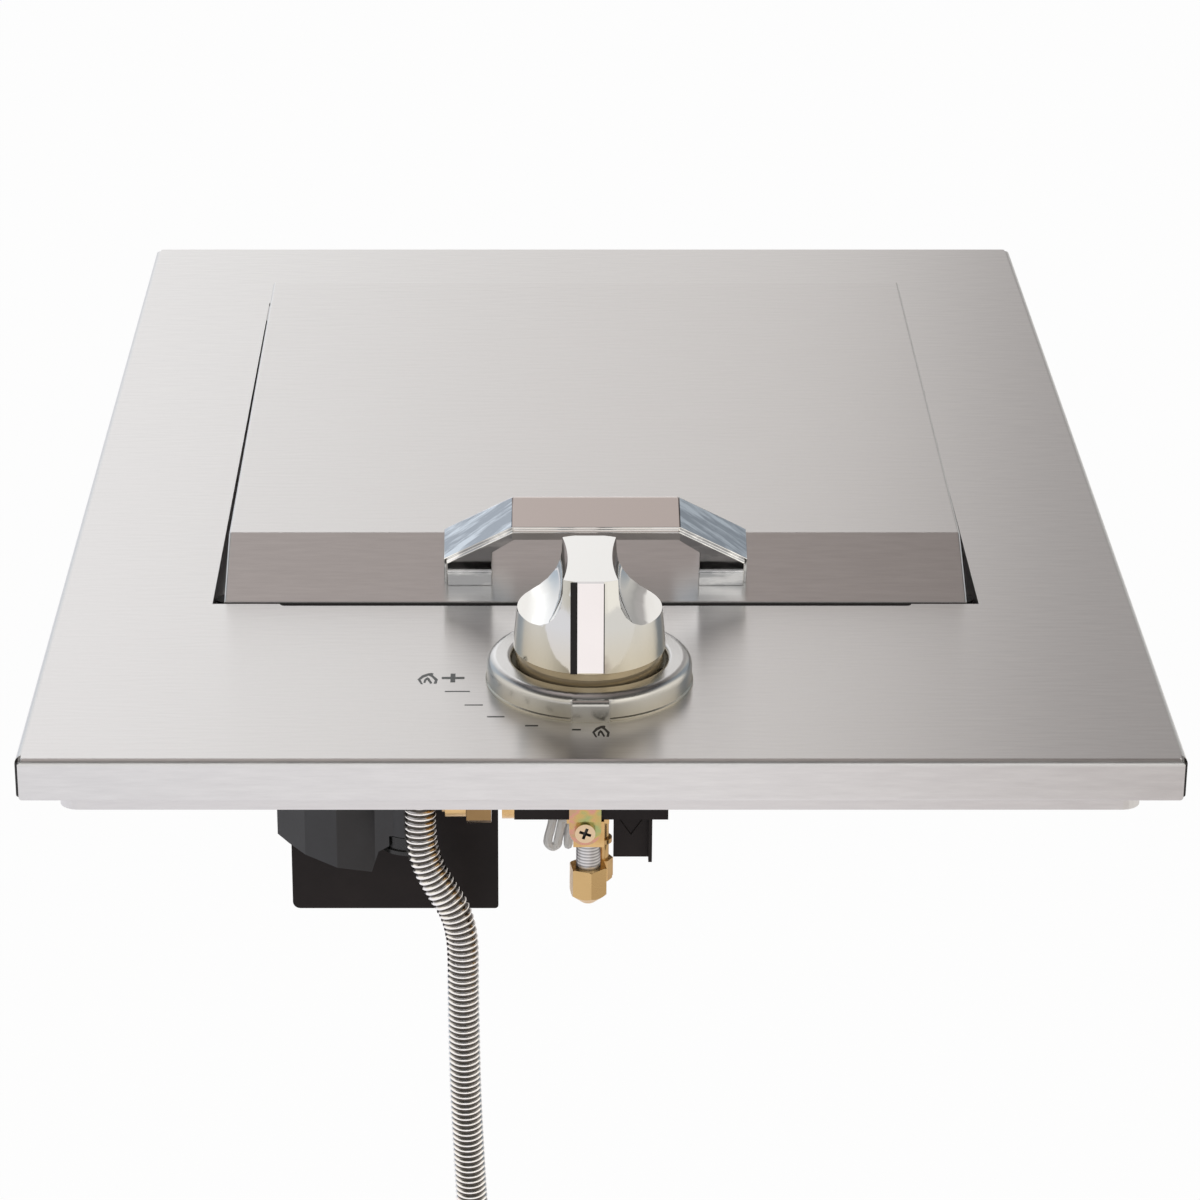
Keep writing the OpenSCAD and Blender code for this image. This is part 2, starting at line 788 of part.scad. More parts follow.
module burner_box() color("lightgray") {
    difference() {
        union() {
            block(
                [-open_w / 2 - box_t, box_y0 - box_t, box_floor],
                [open_w / 2 + box_t, open_y1 + box_t, deck_under]
            );
            block(
                [-open_w / 2 - box_flange, box_y0 - box_t, deck_under - box_t],
                [open_w / 2 + box_flange, open_y1 + box_flange, deck_under]
            );
        }
        block([-open_w / 2, box_y0, box_floor + box_t], [open_w / 2, open_y1, top + cut]);
        for (row = [-1, 1])
            for (i = [0:slot_count - 1])
                slot((i - (slot_count - 1) / 2) * slot_pitch, burner_y0 + row * slot_row_gap);
        rod_y(venturi_r + cap_fit, box_y0 - box_t - cut, box_y0 + cut, tap_x, outlet_z, round_fn);
        rod_y(lead_hole_r, box_y0 - box_t - cut, box_y0 + cut, lead_hole.x, lead_hole.z);
    }
}

// Ledges inside the box that carry the grate and the lid's bumpers
module grate_ledges() color("silver") {
    for (m = [0, 1]) mirror([m, 0, 0]) {
        block([open_w / 2 - ledge_w, ledge_y0, ledge_top - ledge_t], [open_w / 2, ledge_y0 + ledge_len, ledge_top]);
        block([open_w / 2 - ledge_t, ledge_y0, ledge_top - ledge_w], [open_w / 2, ledge_y0 + ledge_len, ledge_top]);
    }
}

module lid_bumpers() color("black") {
    for (s = [-1, 1])
        for (y = [open_y0 + bumper_front, open_y1 - bumper_back])
            rod_z(bumper_r, ledge_top, lid_low - seat_gap, s * (open_w / 2 - bumper_in), y);
}

// Hinge: fixed brackets, shouldered pins and the lid's arms
module hinge_bracket() {
    difference() {
        block(
            [open_w / 2 - hinge_t, hinge_y - bracket_half, hinge_z - bracket_low],
            [open_w / 2, hinge_y + bracket_half, top - seat_gap]
        );
        rod_x(hinge_pin_r + run_fit, open_w / 2 - hinge_t - cut, open_w / 2 + cut, hinge_y, hinge_z);
    }
}

module hinge_bracket_left() color("gray") mirror([1, 0, 0]) hinge_bracket();

module hinge_bracket_right() color("gray") hinge_bracket();

module hinge_pins() color("dimgray") {
    pin_x0 = arm_x - hinge_t - seat_gap - pin_head_t;
    for (m = [0, 1]) mirror([m, 0, 0]) {
        rod_x(hinge_pin_r, pin_x0, open_w / 2 - seat_gap, hinge_y, hinge_z);
        rod_x(pin_head_r, pin_x0, pin_x0 + pin_head_t, hinge_y, hinge_z);
        rod_x(pin_shoulder_r, arm_x + seat_gap, open_w / 2 - hinge_t - seat_gap, hinge_y, hinge_z);
    }
}

module lid_arm() {
    difference() {
        union() {
            along_x(arm_x - hinge_t, arm_x) polygon([
                [lid_y1 - arm_len, lid_low], [hinge_y, hinge_z - arm_eye_r],
                [hinge_y, hinge_z + arm_eye_r], [lid_y1 - arm_len, lid_low + arm_h]
            ]);
            rod_x(arm_eye_r, arm_x - hinge_t, arm_x, hinge_y, hinge_z, round_fn);
        }
        rod_x(hinge_pin_r + run_fit, arm_x - hinge_t - cut, arm_x + cut, hinge_y, hinge_z);
    }
}

module lid_arm_left() color("gray") mirror([1, 0, 0]) lid_arm();

module lid_arm_right() color("gray") lid_arm();

// Lid: one folded sheet with a sloped front face
function lid_inset(a, b, c, t) =
    let (
        u = unit(b - a),
        v = unit(c - b),
        nu = [-u.y, u.x],
        nv = [-v.y, v.x],
        m = unit(nu + nv)
    )
    b + m * t / (m * nu);

lid_outline = [
    [lid_y0, lid_low], [lid_y1, lid_low], [lid_y1, top + lid_back_h], [lid_fold_y, top + lid_fold_h],
    [lid_y0, top]
];
lid_inner = [for (i = [0:4]) lid_inset(lid_outline[(i + 4) % 5], lid_outline[i], lid_outline[(i + 1) % 5], lid_t)];

module lid_shell() color("silver") {
    difference() {
        along_x(-lid_w / 2, lid_w / 2) polygon(rounded([
            for (i = [0:4]) [lid_outline[i].x, lid_outline[i].y, i < 2 ? 0 : lid_edge_r]
        ]));
        along_x(-lid_w / 2 + lid_t, lid_w / 2 - lid_t) polygon(concat(
            [[lid_inner[0].x, lid_low - cut], [lid_inner[1].x, lid_low - cut]],
            [for (i = [2:4]) lid_inner[i]]
        ));
        for (m = [0, 1]) mirror([m, 0, 0])
            block(
                [arm_x - hinge_t - arm_notch_gap, lid_y1 - lid_t - cut, lid_low - cut],
                [arm_x, lid_y1 + cut, hinge_z + arm_eye_r + arm_notch_rise]
            );
        for (s = [-1, 1])
            on_slope(s * (handle_span - handle_foot_w) / 2)
                cylinder(r = handle_screw_r + screw_fit, h = 4 * lid_t, center = true, $fn = small_fn);
    }
}

// Places its children on the lid's slope, z square to the face and y up the slope
module on_slope(x) {
    translate([x, lid_y0 + lid_slope_run / 2, top + lid_fold_h / 2]) rotate([slope, 0, 0]) children();
}

// Cast handle: an arch of flat faces with bevelled outer edges
handle_inner_h = handle_h - handle_bar_t;
handle_outline = [
    [-handle_span / 2, 0, 0], [-handle_span / 2 + handle_foot_w, 0, 0],
    [-handle_span / 2 + handle_foot_w, handle_inner_h * handle_inner_leg_share, handle_fillet],
    [-handle_top_span * handle_inner_top_share, handle_inner_h, handle_fillet],
    [handle_top_span * handle_inner_top_share, handle_inner_h, handle_fillet],
    [handle_span / 2 - handle_foot_w, handle_inner_h * handle_inner_leg_share, handle_fillet],
    [handle_span / 2 - handle_foot_w, 0, 0], [handle_span / 2, 0, 0],
    [handle_span / 2, handle_leg_h, 0], [handle_top_span / 2, handle_h, 0],
    [-handle_top_span / 2, handle_h, 0], [-handle_span / 2, handle_leg_h, 0]
];

// Cuts a bevel along one outer edge, from point a to point b of the outline
module handle_bevel_cut(a, b) {
    run = norm(b - a);
    for (m = [0, 1]) mirror([0, 0, m])
        translate([a.x, a.y, handle_w / 2])
            rotate([0, 0, atan2(b.y - a.y, b.x - a.x)])
                translate([-cut, 0, 0])
                    rotate([90, 0, 90]) linear_extrude(run + 2 * cut)
                        polygon([[-handle_bevel, cut], [-handle_bevel, 0], [0, -handle_bevel], [cut, -handle_bevel], [cut, cut]]);
}

module handle() color("gainsboro") {
    n = len(handle_outline);
    on_slope(0) difference() {
        rotate([90, 0, 0]) difference() {
            linear_extrude(handle_w, center = true) polygon(rounded(handle_outline));
            for (i = [7:n - 1])
                let (p = handle_outline[i], q = handle_outline[(i + 1) % n])
                    handle_bevel_cut([p.x, p.y], [q.x, q.y]);
        }
        for (s = [-1, 1]) {
            translate([s * (handle_span - handle_foot_w) / 2, 0, -cut])
                cylinder(r = handle_screw_r + screw_fit, h = handle_screw_len + cut, $fn = small_fn);
            translate([s * (handle_span - handle_foot_w / 2) / 2, -handle_w / 2, handle_pad_h])
                cube([handle_foot_w * 2, 2 * handle_groove, handle_groove], center = true);
        }
    }
}

module handle_screws() color("dimgray") {
    for (s = [-1, 1])
        on_slope(s * (handle_span - handle_foot_w) / 2) {
            translate([0, 0, -lid_t - seat_gap])
                cylinder(r = handle_screw_r, h = handle_screw_len + lid_t, $fn = small_fn);
            translate([0, 0, -lid_t - handle_head_t])
                cylinder(r = handle_head_r, h = handle_head_t, $fn = small_fn);
        }
}

// Bezel: a polished ring with a raised tab at the front
module bezel() color("gainsboro") {
    translate([tap_x, tap_y0, top]) difference() {
        union() {
            difference() {
                rotate_extrude($fn = round_fn) polygon(rounded([
                    [bezel_hole_r, 0, 0], [bezel_r + bezel_bead, 0, 0], [bezel_r + bezel_bead, 2 * bezel_bead, 0],
                    [bezel_r, 3 * bezel_bead, 0], [bezel_r, bezel_h, bezel_crown],
                    [bezel_in_r, bezel_h, bezel_crown / 2], [bezel_in_r, bezel_floor_t, 0],
                    [bezel_hole_r, bezel_floor_t, 0]
                ]));
                block(
                    [-bezel_tab_w / 2 - bezel_groove, -bezel_r - cut, -cut],
                    [bezel_tab_w / 2 + bezel_groove, -bezel_r + bezel_tab_proud, bezel_tab_h]
                );
            }
            along_x(-bezel_tab_w / 2, bezel_tab_w / 2) polygon(rounded([
                [-bezel_r - bezel_tab_proud, 0, 0], [-bezel_in_r - bezel_crown, 0, 0],
                [-bezel_in_r - bezel_crown, bezel_tab_h, 0],
                [-bezel_r - bezel_tab_proud, bezel_tab_h, bezel_tab_round]
            ]));
        }
        for (s = [-1, 1])
            rod_z(bezel_screw_r + screw_fit, -cut, bezel_floor_t + cut, s * bezel_screw_at, 0);
    }
}

module bezel_screws() color("silver") {
    for (s = [-1, 1]) translate([tap_x + s * bezel_screw_at, tap_y0, 0]) {
        rod_z(bezel_head_r, top + bezel_floor_t, top + bezel_floor_t + bezel_head_t, 0, 0);
        rod_z(bezel_screw_r, deck_under - bezel_nut_t, top + bezel_floor_t, 0, 0);
        rod_z(hex_r(2 * bezel_head_r), deck_under - bezel_nut_t, deck_under, 0, 0, 6);
    }
}

// Knob: a barrel with two coved finger scoops that leave a waisted grip
function barrel_r(t) = knob_r + (knob_top_r - knob_r) * t + knob_bulge * 4 * t * (1 - t);

module knob_scoop() {
    grip_half = knob_top_r;
    sagitta = (grip_end - grip_waist) / 2;
    curve_r = (grip_half * grip_half + sagitta * sagitta) / (2 * sagitta);
    translate([grip_waist / 2 + curve_r, 0, 0])
        rotate_extrude($fn = 2 * round_fn) polygon(rounded([
            [curve_r / 2, scoop_floor, 0], [curve_r, scoop_floor, scoop_cove],
            [curve_r, knob_top + knob_r, 0], [curve_r / 2, knob_top + knob_r, 0]
        ]));
}

// The flat panel and line slot on one end of the grip, in the barrel's lean
module panel_frame() {
    translate([0, -knob_r + panel_depth, knob_low]) rotate([-knob_lean, 0, 0]) children();
}

module stem_shape(r) {
    intersection() {
        circle(r = r, $fn = small_fn);
        translate([-r, -r]) square([r * (1 + stem_flat_share), 2 * r]);
    }
}

module knob() color("gainsboro") {
    collar_r0 = knob_r - knob_collar_in;
    panel_run = (knob_top - knob_low) / cos(knob_lean);
    translate([tap_x, tap_y0, top]) difference() {
        rotate_extrude($fn = round_fn) polygon(concat(
            [[0, knob_base], [collar_r0, knob_base], [collar_r0, knob_low], [knob_r, knob_low]],
            [for (i = [1:knob_steps]) [barrel_r(i / knob_steps), knob_low + (knob_top - knob_low) * i / knob_steps]],
            [[0, knob_top]]
        ));
        for (m = [0, 1]) {
            mirror([m, 0, 0]) knob_scoop();
            rotate([0, 0, 180 * m]) panel_frame()
                translate([-panel_w / 2 - line_w, -knob_r, 0])
                    cube([panel_w + line_w, knob_r, panel_run + cut]);
        }
        rotate_extrude($fn = round_fn) polygon([
            [knob_hub_r, knob_base - cut], [knob_r - knob_wall, knob_base - cut],
            [knob_r - knob_wall, knob_cavity_top - knob_wall], [knob_hub_r, knob_cavity_top]
        ]);
        translate([0, 0, knob_base - cut])
            linear_extrude(stem_top + stem_tip_gap - knob_base + cut) stem_shape(stem_r + run_fit);
    }
}

module knob_line() color("black") {
    translate([tap_x, tap_y0, top])
        for (m = [0, 1])
            rotate([0, 0, 180 * m]) panel_frame()
                translate([-panel_w / 2 - line_w, -line_t, 0])
                    cube([line_w, line_t, (knob_top - knob_low) / cos(knob_lean) - seat_gap]);
}

module valve_stem() color("silver") {
    translate([tap_x, tap_y0, barrel_top - stem_depth])
        linear_extrude(top + stem_top - barrel_top + stem_depth) stem_shape(stem_r);
}

// Gas tap: the plug turns in the barrel, and the web carries gas down behind the manifold
module valve_plug() color("goldenrod") {
    translate([tap_x, tap_y0, barrel_top - plug_gap - plug_h]) difference() {
        cylinder(r = plug_r, h = plug_h, $fn = small_fn);
        translate([0, 0, plug_h - stem_depth - push_travel])
            linear_extrude(stem_depth + push_travel + cut) stem_shape(stem_r + run_fit);
    }
}

module valve_body() color("goldenrod") {
    translate([tap_x, tap_y0, 0]) difference() {
        union() {
            rod_z(tap_barrel_r, rail_z1, barrel_top, 0, 0, round_fn);
            block([-cover_w / 2, -cover_ear, barrel_top - cover_ear], [cover_w / 2, cover_ear, barrel_top]);
            block([-tap_w / 2, 0, rail_z1], [tap_w / 2, web_y0 - tap_y0 + web_t, barrel_top - cover_ear]);
            block(
                [-tap_w / 2, web_y0 - tap_y0, web_low],
                [tap_w / 2, web_y0 - tap_y0 + web_t, barrel_top - cover_ear]
            );
            block(
                [-boss_w / 2, -tap_barrel_r, web_low],
                [boss_w / 2, web_y0 - tap_y0 + cut, rail_z0 - seat_gap]
            );
            rod_y(outlet_boss_r, web_y0 - tap_y0, web_y0 - tap_y0 + web_t + outlet_boss_len, 0, outlet_z);
        }
        rod_z(plug_r + run_fit, barrel_top - 2 * plug_gap - plug_h, barrel_top + cut, 0, 0);
        rod_y(
            strap_screw_r + screw_fit, -tap_barrel_r - cut, -tap_barrel_r + strap_screw_len,
            strap_side, lug_z
        );
        for (s = [-1, 1])
            rod_z(cover_screw_r + screw_fit, barrel_top - 2 * cover_ear, barrel_top + cut, s * cover_screw_at, 0);
    }
}

module valve_cover() color("silver") {
    translate([tap_x, tap_y0, barrel_top]) difference() {
        union() {
            block([-cover_w / 2, -cover_ear, 0], [cover_w / 2, cover_ear, cover_t]);
            block([-switch_w / 2, 0, 0], [switch_w / 2, cover_back, cover_t]);
        }
        rod_z(stem_r + run_fit, -cut, cover_t + cut, 0, 0);
        for (s = [-1, 1])
            rod_z(cover_screw_r + screw_fit, -cut, cover_t + cut, s * cover_screw_at, 0);
    }
}

module cover_screws() color("dimgray") {
    for (s = [-1, 1]) {
        rod_z(cover_screw_r, barrel_top - cover_ear, barrel_top + cover_t, tap_x + s * cover_screw_at, tap_y0);
        rod_z(
            2 * cover_screw_r, barrel_top + cover_t, barrel_top + 2 * cover_t - cover_screw_r / 2,
            tap_x + s * cover_screw_at, tap_y0
        );
    }
}

// Switch that the pushed stem closes, on the back of the tap's cover
module ignition_switch() color("black") {
    switch_z = barrel_top + cover_t;
    block(
        [tap_x - switch_w / 2, switch_y0, switch_z],
        [tap_x + switch_w / 2, switch_y0 + switch_d, switch_z + switch_h]
    );
    block(
        [tap_x - switch_w / 4, switch_y0 - switch_lever, switch_z + switch_h - strap_t],
        [tap_x + switch_w / 4, switch_y0, switch_z + switch_h]
    );
}

// Manifold: a square tube with a thick inlet end and a pressed plug
module manifold() color("black") {
    y0 = tap_y0 - rail_s / 2;
    y1 = tap_y0 + rail_s / 2;
    difference() {
        block([rail_x0, y0, rail_z0], [rail_x1, y1, rail_z1]);
        block(
            [rail_x0 + rail_end_t, y0 + rail_wall, rail_z0 + rail_wall],
            [rail_x1 + cut, y1 - rail_wall, rail_z1 - rail_wall]
        );
        rod_x(spigot_r + screw_fit, rail_x0 - cut, rail_x0 + rail_end_t + cut, tap_y0, inlet_z);
    }
}

module manifold_plug() color("black") {
    y0 = tap_y0 - rail_s / 2 + rail_wall + screw_fit;
    y1 = tap_y0 + rail_s / 2 - rail_wall - screw_fit;
    block(
        [rail_x1 - rail_end_t, y0, rail_z0 + rail_wall + screw_fit],
        [rail_x1 - rail_wall, y1, rail_z1 - rail_wall - screw_fit]
    );
}

// Strap that clamps the tap to the manifold, with its lug and screw
module saddle_strap() color("khaki") {
    x0 = tap_x + strap_side - strap_w / 2;
    translate([0, -strap_t, 0]) difference() {
        union() {
            block([x0, strap_y, lug_z], [x0 + strap_w, strap_y + strap_t, barrel_top + strap_t]);
            block(
                [x0, strap_y, barrel_top],
                [x0 + strap_w, strap_y + strap_t + strap_tab, barrel_top + strap_t]
            );
            block([x0, strap_y - strap_proud, lug_z + strap_step], [x0 + strap_w, strap_y + strap_t, barrel_top + strap_t]);
            rod_y(lug_r, strap_y, strap_y + strap_t, tap_x + strap_side, lug_z, round_fn);
        }
        rod_y(strap_screw_r + screw_fit, strap_y - cut, strap_y + strap_t + cut, tap_x + strap_side, lug_z);
    }
}

module strap_screw() color("silver") {
    x = tap_x + strap_side;
    y1 = strap_y - strap_t;
    difference() {
        union() {
            rod_y(strap_screw_r, y1, strap_y + strap_screw_len - seat_gap, x, lug_z);
            rod_y(strap_head_r, y1 - strap_head_t, y1, x, lug_z);
        }
        for (a = [0, 90])
            translate([x, y1 - strap_head_t, lug_z]) rotate([0, a + phillips_turn, 0])
                cube([phillips_l, 2 * phillips_d, phillips_w], center = true);
    }
}

// Threaded outlet below the tap, closed by a pointed cap nut
module outlet_nipple() color("silver") {
    rod_z(nipple_r, nipple_z1 - nipple_len, nipple_z1, tap_x, tap_y0);
}

module cap_nut() color("goldenrod") {
    r = hex_r(cap_af);
    translate([tap_x, tap_y0, 0]) difference() {
        intersection() {
            translate([0, 0, cap_z1 - cap_h]) rotate([0, 0, cap_turn]) cylinder(r = r, h = cap_h, $fn = 6);
            rotate_extrude($fn = round_fn) polygon([
                [0, cap_z1 - cap_h], [cap_tip_r, cap_z1 - cap_h], [r, cap_z1 - cap_h + cap_tip_h],
                [r, cap_z1 - cap_chamfer], [r - cap_chamfer, cap_z1], [0, cap_z1]
            ]);
        }
        rod_z(nipple_r + screw_fit, cap_z1 - cap_bore - seat_gap, cap_z1 + cut, 0, 0);
    }
}

module bypass_screw() color("goldenrod") {
    translate([tap_x + bypass_x, web_y0 + web_t / 2, web_low - bypass_len]) difference() {
        union() {
            cylinder(r = bypass_r, h = bypass_hex_len, $fn = 6);
            cylinder(r = bypass_r * bypass_shaft_share, h = bypass_len, $fn = small_fn);
            translate([0, 0, bypass_len * bypass_collar_share])
                cylinder(r = bypass_r * bypass_collar_r_share, h = bypass_slot * 2, $fn = small_fn);
        }
        translate([-bypass_r, -bypass_slot / 2, -cut]) cube([2 * bypass_r, bypass_slot, bypass_slot + cut]);
    }
}

// Inlet: collar and neck in the manifold, swivel nut, and the elbow down to the hose
module inlet_adapter() color("goldenrod") {
    x0 = rail_x0 - collar_len - neck_len - inlet_nut_len / 2;
    difference() {
        union() {
            rod_x(spigot_r, rail_x0 - collar_len, rail_x0 + rail_end_t, tap_y0, inlet_z);
            rod_x(collar_r, rail_x0 - collar_len, rail_x0, tap_y0, inlet_z, round_fn);
            rod_x(neck_r, x0, rail_x0 - collar_len, tap_y0, inlet_z);
        }
        rod_x(inlet_bore_r, x0 - cut, rail_x0 + rail_end_t + cut, tap_y0, inlet_z);
    }
}

module inlet_nut() color("goldenrod") {
    difference() {
        translate([inlet_nut_x0, tap_y0, inlet_z]) rotate([0, 90, 0])
            cylinder(r = hex_r(inlet_af), h = inlet_nut_len, $fn = 6);
        rod_x(neck_r + screw_fit, inlet_nut_x0 - cut, inlet_nut_x1 + cut, tap_y0, inlet_z);
    }
}

module inlet_elbow() color("goldenrod") {
    difference() {
        union() {
            rod_x(neck_r, inlet_nut_x0 - cut, inlet_nut_x0 + inlet_nut_len / 2 - seat_gap, tap_y0, inlet_z);
            rod_x(elbow_r, inlet_nut_x0 - elbow_block_len, inlet_nut_x0 - elbow_gap, tap_y0, inlet_z, round_fn);
            rod_x(elbow_leg_r, hose_x, inlet_nut_x0 - elbow_gap, tap_y0, inlet_z);
            translate([hose_x, tap_y0, inlet_z]) sphere(r = elbow_leg_r, $fn = 2 * small_fn);
        }
        block(
            [hose_x - elbow_r, tap_y0 - elbow_r, hose_z - 2 * elbow_r],
            [inlet_nut_x0 - elbow_block_len - cut, tap_y0 + elbow_r, hose_z + elbow_gap]
        );
        rod_x(inlet_bore_r, hose_x, inlet_nut_x0 + inlet_nut_len, tap_y0, inlet_z);
        rod_z(inlet_bore_r, hose_z - cut, inlet_z, hose_x, tap_y0);
        translate([hose_x, tap_y0, inlet_z]) sphere(r = inlet_bore_r, $fn = small_fn);
    }
}

// Corrugated gas hose and the nut at its free end
module hose() color("silver") ribbed_hose(hose_line);

module hose_end_nut() color("goldenrod") {
    hose_end = hose_line[len(hose_line) - 1];
    translate([hose_end.x, hose_end.y, hose_end.z - hose_nut_len]) difference() {
        union() {
            cylinder(r = hex_r(hose_nut_af), h = hose_nut_len - hose_flare_len, $fn = 6);
            cylinder(r = hose_r + rib_depth, h = hose_nut_len, $fn = small_fn);
        }
        translate([0, 0, -cut])
            cylinder(r = hose_bore_r, h = hose_nut_len + 2 * cut, $fn = small_fn);
        translate([0, 0, -cut])
            cylinder(r = gas_thread_r, h = hose_nut_len / 2 + cut, $fn = 2 * small_fn);
    }
}

// Module bracket, the ignition module, its battery and battery cap
module module_bracket() color("black") {
    difference() {
        union() {
            translate([plate_x0, plate_y0 + bracket_t, 0]) rotate([90, 0, 0]) linear_extrude(bracket_t)
                polygon(rounded([
                    [0, top - bracket_drop, plate_corner / 2], [bracket_w, top - bracket_drop, bracket_t],
                    [bracket_w, deck_under, 0], [0, deck_under, 0]
                ]));
            block(
                [plate_x0, plate_y0 - plate_flange + bracket_t, deck_under - bracket_t],
                [plate_x0 + bracket_w, plate_y0 + bracket_t, deck_under]
            );
        }
        for (share = stud_shares)
            rod_z(
                stud_r + screw_fit, deck_under - 2 * bracket_t, deck_under + cut,
                plate_x0 + share * bracket_w, plate_y0 - plate_flange / 2
            );
    }
}

// The module's outline from above, as shares of its width and depth
module_plan_shares = [[0, 0.34], [0.17, 0.07], [0.36, 0], [0.58, 0.2], [0.78, 0.2], [0.78, 1], [0, 1]];
// The module's outline from the front, as shares of its width, height and slant
module_low_shares = [[0, 1, 0], [0.07, 1, 0.16], [0.56, 1, 1], [0.6, 1, 0.4], [1, 0.84, 0]];

module ignition_module() color("dimgray") {
    difference() {
        union() {
            intersection() {
                translate([module_x0, module_y0, module_top - module_h - module_slant - cut])
                    linear_extrude(module_h + module_slant + cut) polygon(
                        [for (s = module_plan_shares) [s.x * module_w, s.y * module_d]]
                    );
                translate([module_x0, module_y0 + module_d, module_top]) rotate([90, 0, 0])
                    linear_extrude(module_d) polygon(concat(
                        [for (s = module_low_shares)
                            [s.x * module_w, -s.y * module_h - s[2] * module_slant]],
                        [[module_w, 0], [0, 0]]
                    ));
            }
            rod_z(battery_r + holder_t + battery_fit, holder_low, module_top, holder_x, holder_y, round_fn);
            block(
                [module_x0 + module_w / 2, holder_y, holder_low + plate_corner],
                [holder_x + battery_r + holder_t, plate_y0, module_top]
            );
        }
        rod_z(
            battery_r + battery_fit, holder_low - module_slant, holder_low + battery_len + seat_gap,
            holder_x, holder_y
        );
        rod_z(battery_cap_r + battery_fit, holder_low - module_slant, holder_low, holder_x, holder_y, round_fn);
    }
}

module battery() color("darkslategray") {
    rod_z(battery_r, holder_low, holder_low + battery_len, holder_x, holder_y);
}

module battery_cap() color("black") {
    cap_z = holder_low - seat_gap;
    translate([holder_x, holder_y, 0]) {
        rod_z(battery_cap_r - cap_rim_h / 2, cap_z - cap_grip_h, cap_z, 0, 0, round_fn);
        rod_z(battery_cap_r, cap_z - cap_grip_h, cap_z - cap_grip_h + cap_rim_h, 0, 0, round_fn);
    }
}

// Bracket that hangs the manifold below the deck
module rail_bracket() color("black") {
    x1 = rail_plate_x0 + rail_plate_w;
    difference() {
        union() {
            block(
                [rail_plate_x0, rail_plate_y0, rail_plate_low],
                [x1, rail_plate_y0 + bracket_t, deck_under]
            );
            block(
                [rail_plate_x0, rail_plate_y0, deck_under - bracket_t],
                [x1, rail_plate_y0 + rail_flange, deck_under]
            );
            block(
                [x1, rail_plate_y0 + bracket_t - rail_leg, rail_plate_low - rail_leg_extra],
                [x1 + bracket_t, rail_plate_y0 + bracket_t, rail_z0 - seat_gap]
            );
        }
        translate([rail_plate_x0 + rail_plate_w / 2, rail_plate_y0 + bracket_t / 2, rail_z0])
            rotate([90, 0, 0]) linear_extrude(bracket_t) polygon([
                [-notch_w / 2, -seat_gap], [-notch_w / 2, -notch_side_h], [0, -notch_h],
                [notch_w / 2, -notch_side_h], [notch_w / 2, -seat_gap]
            ]);
        rod_z(
            stud_r + screw_fit, deck_under - 2 * bracket_t, deck_under + cut,
            rail_plate_x0 + rail_plate_w / 2, rail_plate_y0 + rail_flange / 2
        );
        rod_y(
            strap_screw_r + screw_fit, rail_plate_y0 - cut, rail_plate_y0 + bracket_t + cut,
            rail_plate_x0 + rail_plate_w / 2, inlet_z
        );
    }
}

module rail_screw() color("silver") {
    x = rail_plate_x0 + rail_plate_w / 2;
    y1 = rail_plate_y0 + bracket_t;
    rod_y(strap_screw_r, rail_plate_y0 + screw_fit, y1, x, inlet_z);
    rod_y(strap_head_r, y1, y1 + strap_head_t, x, inlet_z, 6);
}

// Weld studs below the deck, with their nuts
module bracket_studs() color("silver") {
    spots = [
        for (share = stud_shares) [plate_x0 + share * bracket_w, plate_y0 - plate_flange / 2],
        [rail_plate_x0 + rail_plate_w / 2, rail_plate_y0 + rail_flange / 2]
    ];
    for (p = spots) {
        rod_z(stud_r, deck_under - stud_len, deck_under, p.x, p.y);
        rod_z(stud_nut_r, deck_under - bracket_t - stud_nut_t, deck_under - bracket_t, p.x, p.y, 6);
    }
}

module switch_lead() color("lightgray") {
    route = [for (p = SWITCH_ROUTE) p + lead_origin];
    tube(smooth(route), lead_r, lead_sides, [0, 1, 0]);
}

module ignition_lead() color("dimgray") {
    electrode_foot = [electrode_x, electrode_y, ceramic_z0];
    route = concat([for (p = LEAD_FRONT) p + lead_origin], [for (p = LEAD_BACK) p + electrode_foot]);
    tube(smooth(route), lead_r, lead_sides, [0, 0, 1]);
}

// Orifice, mixing tube and the turning air shutter
module orifice() color("goldenrod") {
    y0 = web_y0 + web_t + outlet_boss_len;
    translate([tap_x, y0, outlet_z]) rotate([-90, 0, 0])
        cylinder(r = hex_r(orifice_af), h = orifice_hex_len, $fn = 6);
    rod_y(orifice_tip_r, y0 + orifice_hex_len, y0 + orifice_hex_len + orifice_tip_len, tap_x, outlet_z);
}

module air_windows(r, y, width) {
    for (s = [-1, 1])
        translate([tap_x, y, outlet_z]) block(
            [s > 0 ? 0 : -r - cut, 0, -width / 2],
            [s > 0 ? r + cut : 0, air_len, width / 2]
        );
}

module venturi_tube() color("silver") {
    difference() {
        union() {
            rod_y(venturi_r, venturi_y0, venturi_y1, tap_x, outlet_z, round_fn);
            rod_y(bell_r, venturi_y0, venturi_y0 + bell_t, tap_x, outlet_z, round_fn);
        }
        rod_y(
            venturi_r - venturi_t, venturi_y0 + venturi_t, venturi_y1 + cut,
            tap_x, outlet_z, round_fn
        );
        rod_y(venturi_mouth_r, venturi_y0 - cut, venturi_y0 + 2 * venturi_t, tap_x, outlet_z);
        air_windows(venturi_r, air_y0, air_w);
    }
}

module air_shutter() color("gray") {
    y0 = venturi_y0 + bell_t + seat_gap;
    difference() {
        union() {
            rod_y(venturi_r + run_fit + shutter_t, y0, y0 + shutter_len, tap_x, outlet_z, round_fn);
            translate([tap_x - shutter_t / 2, y0, outlet_z])
                cube([shutter_t, shutter_len / 2, venturi_r + shutter_t + shutter_tab]);
        }
        rod_y(venturi_r + run_fit, y0 - cut, y0 + shutter_len + cut, tap_x, outlet_z, round_fn);
        air_windows(venturi_r + shutter_t, air_y0, air_w);
    }
}

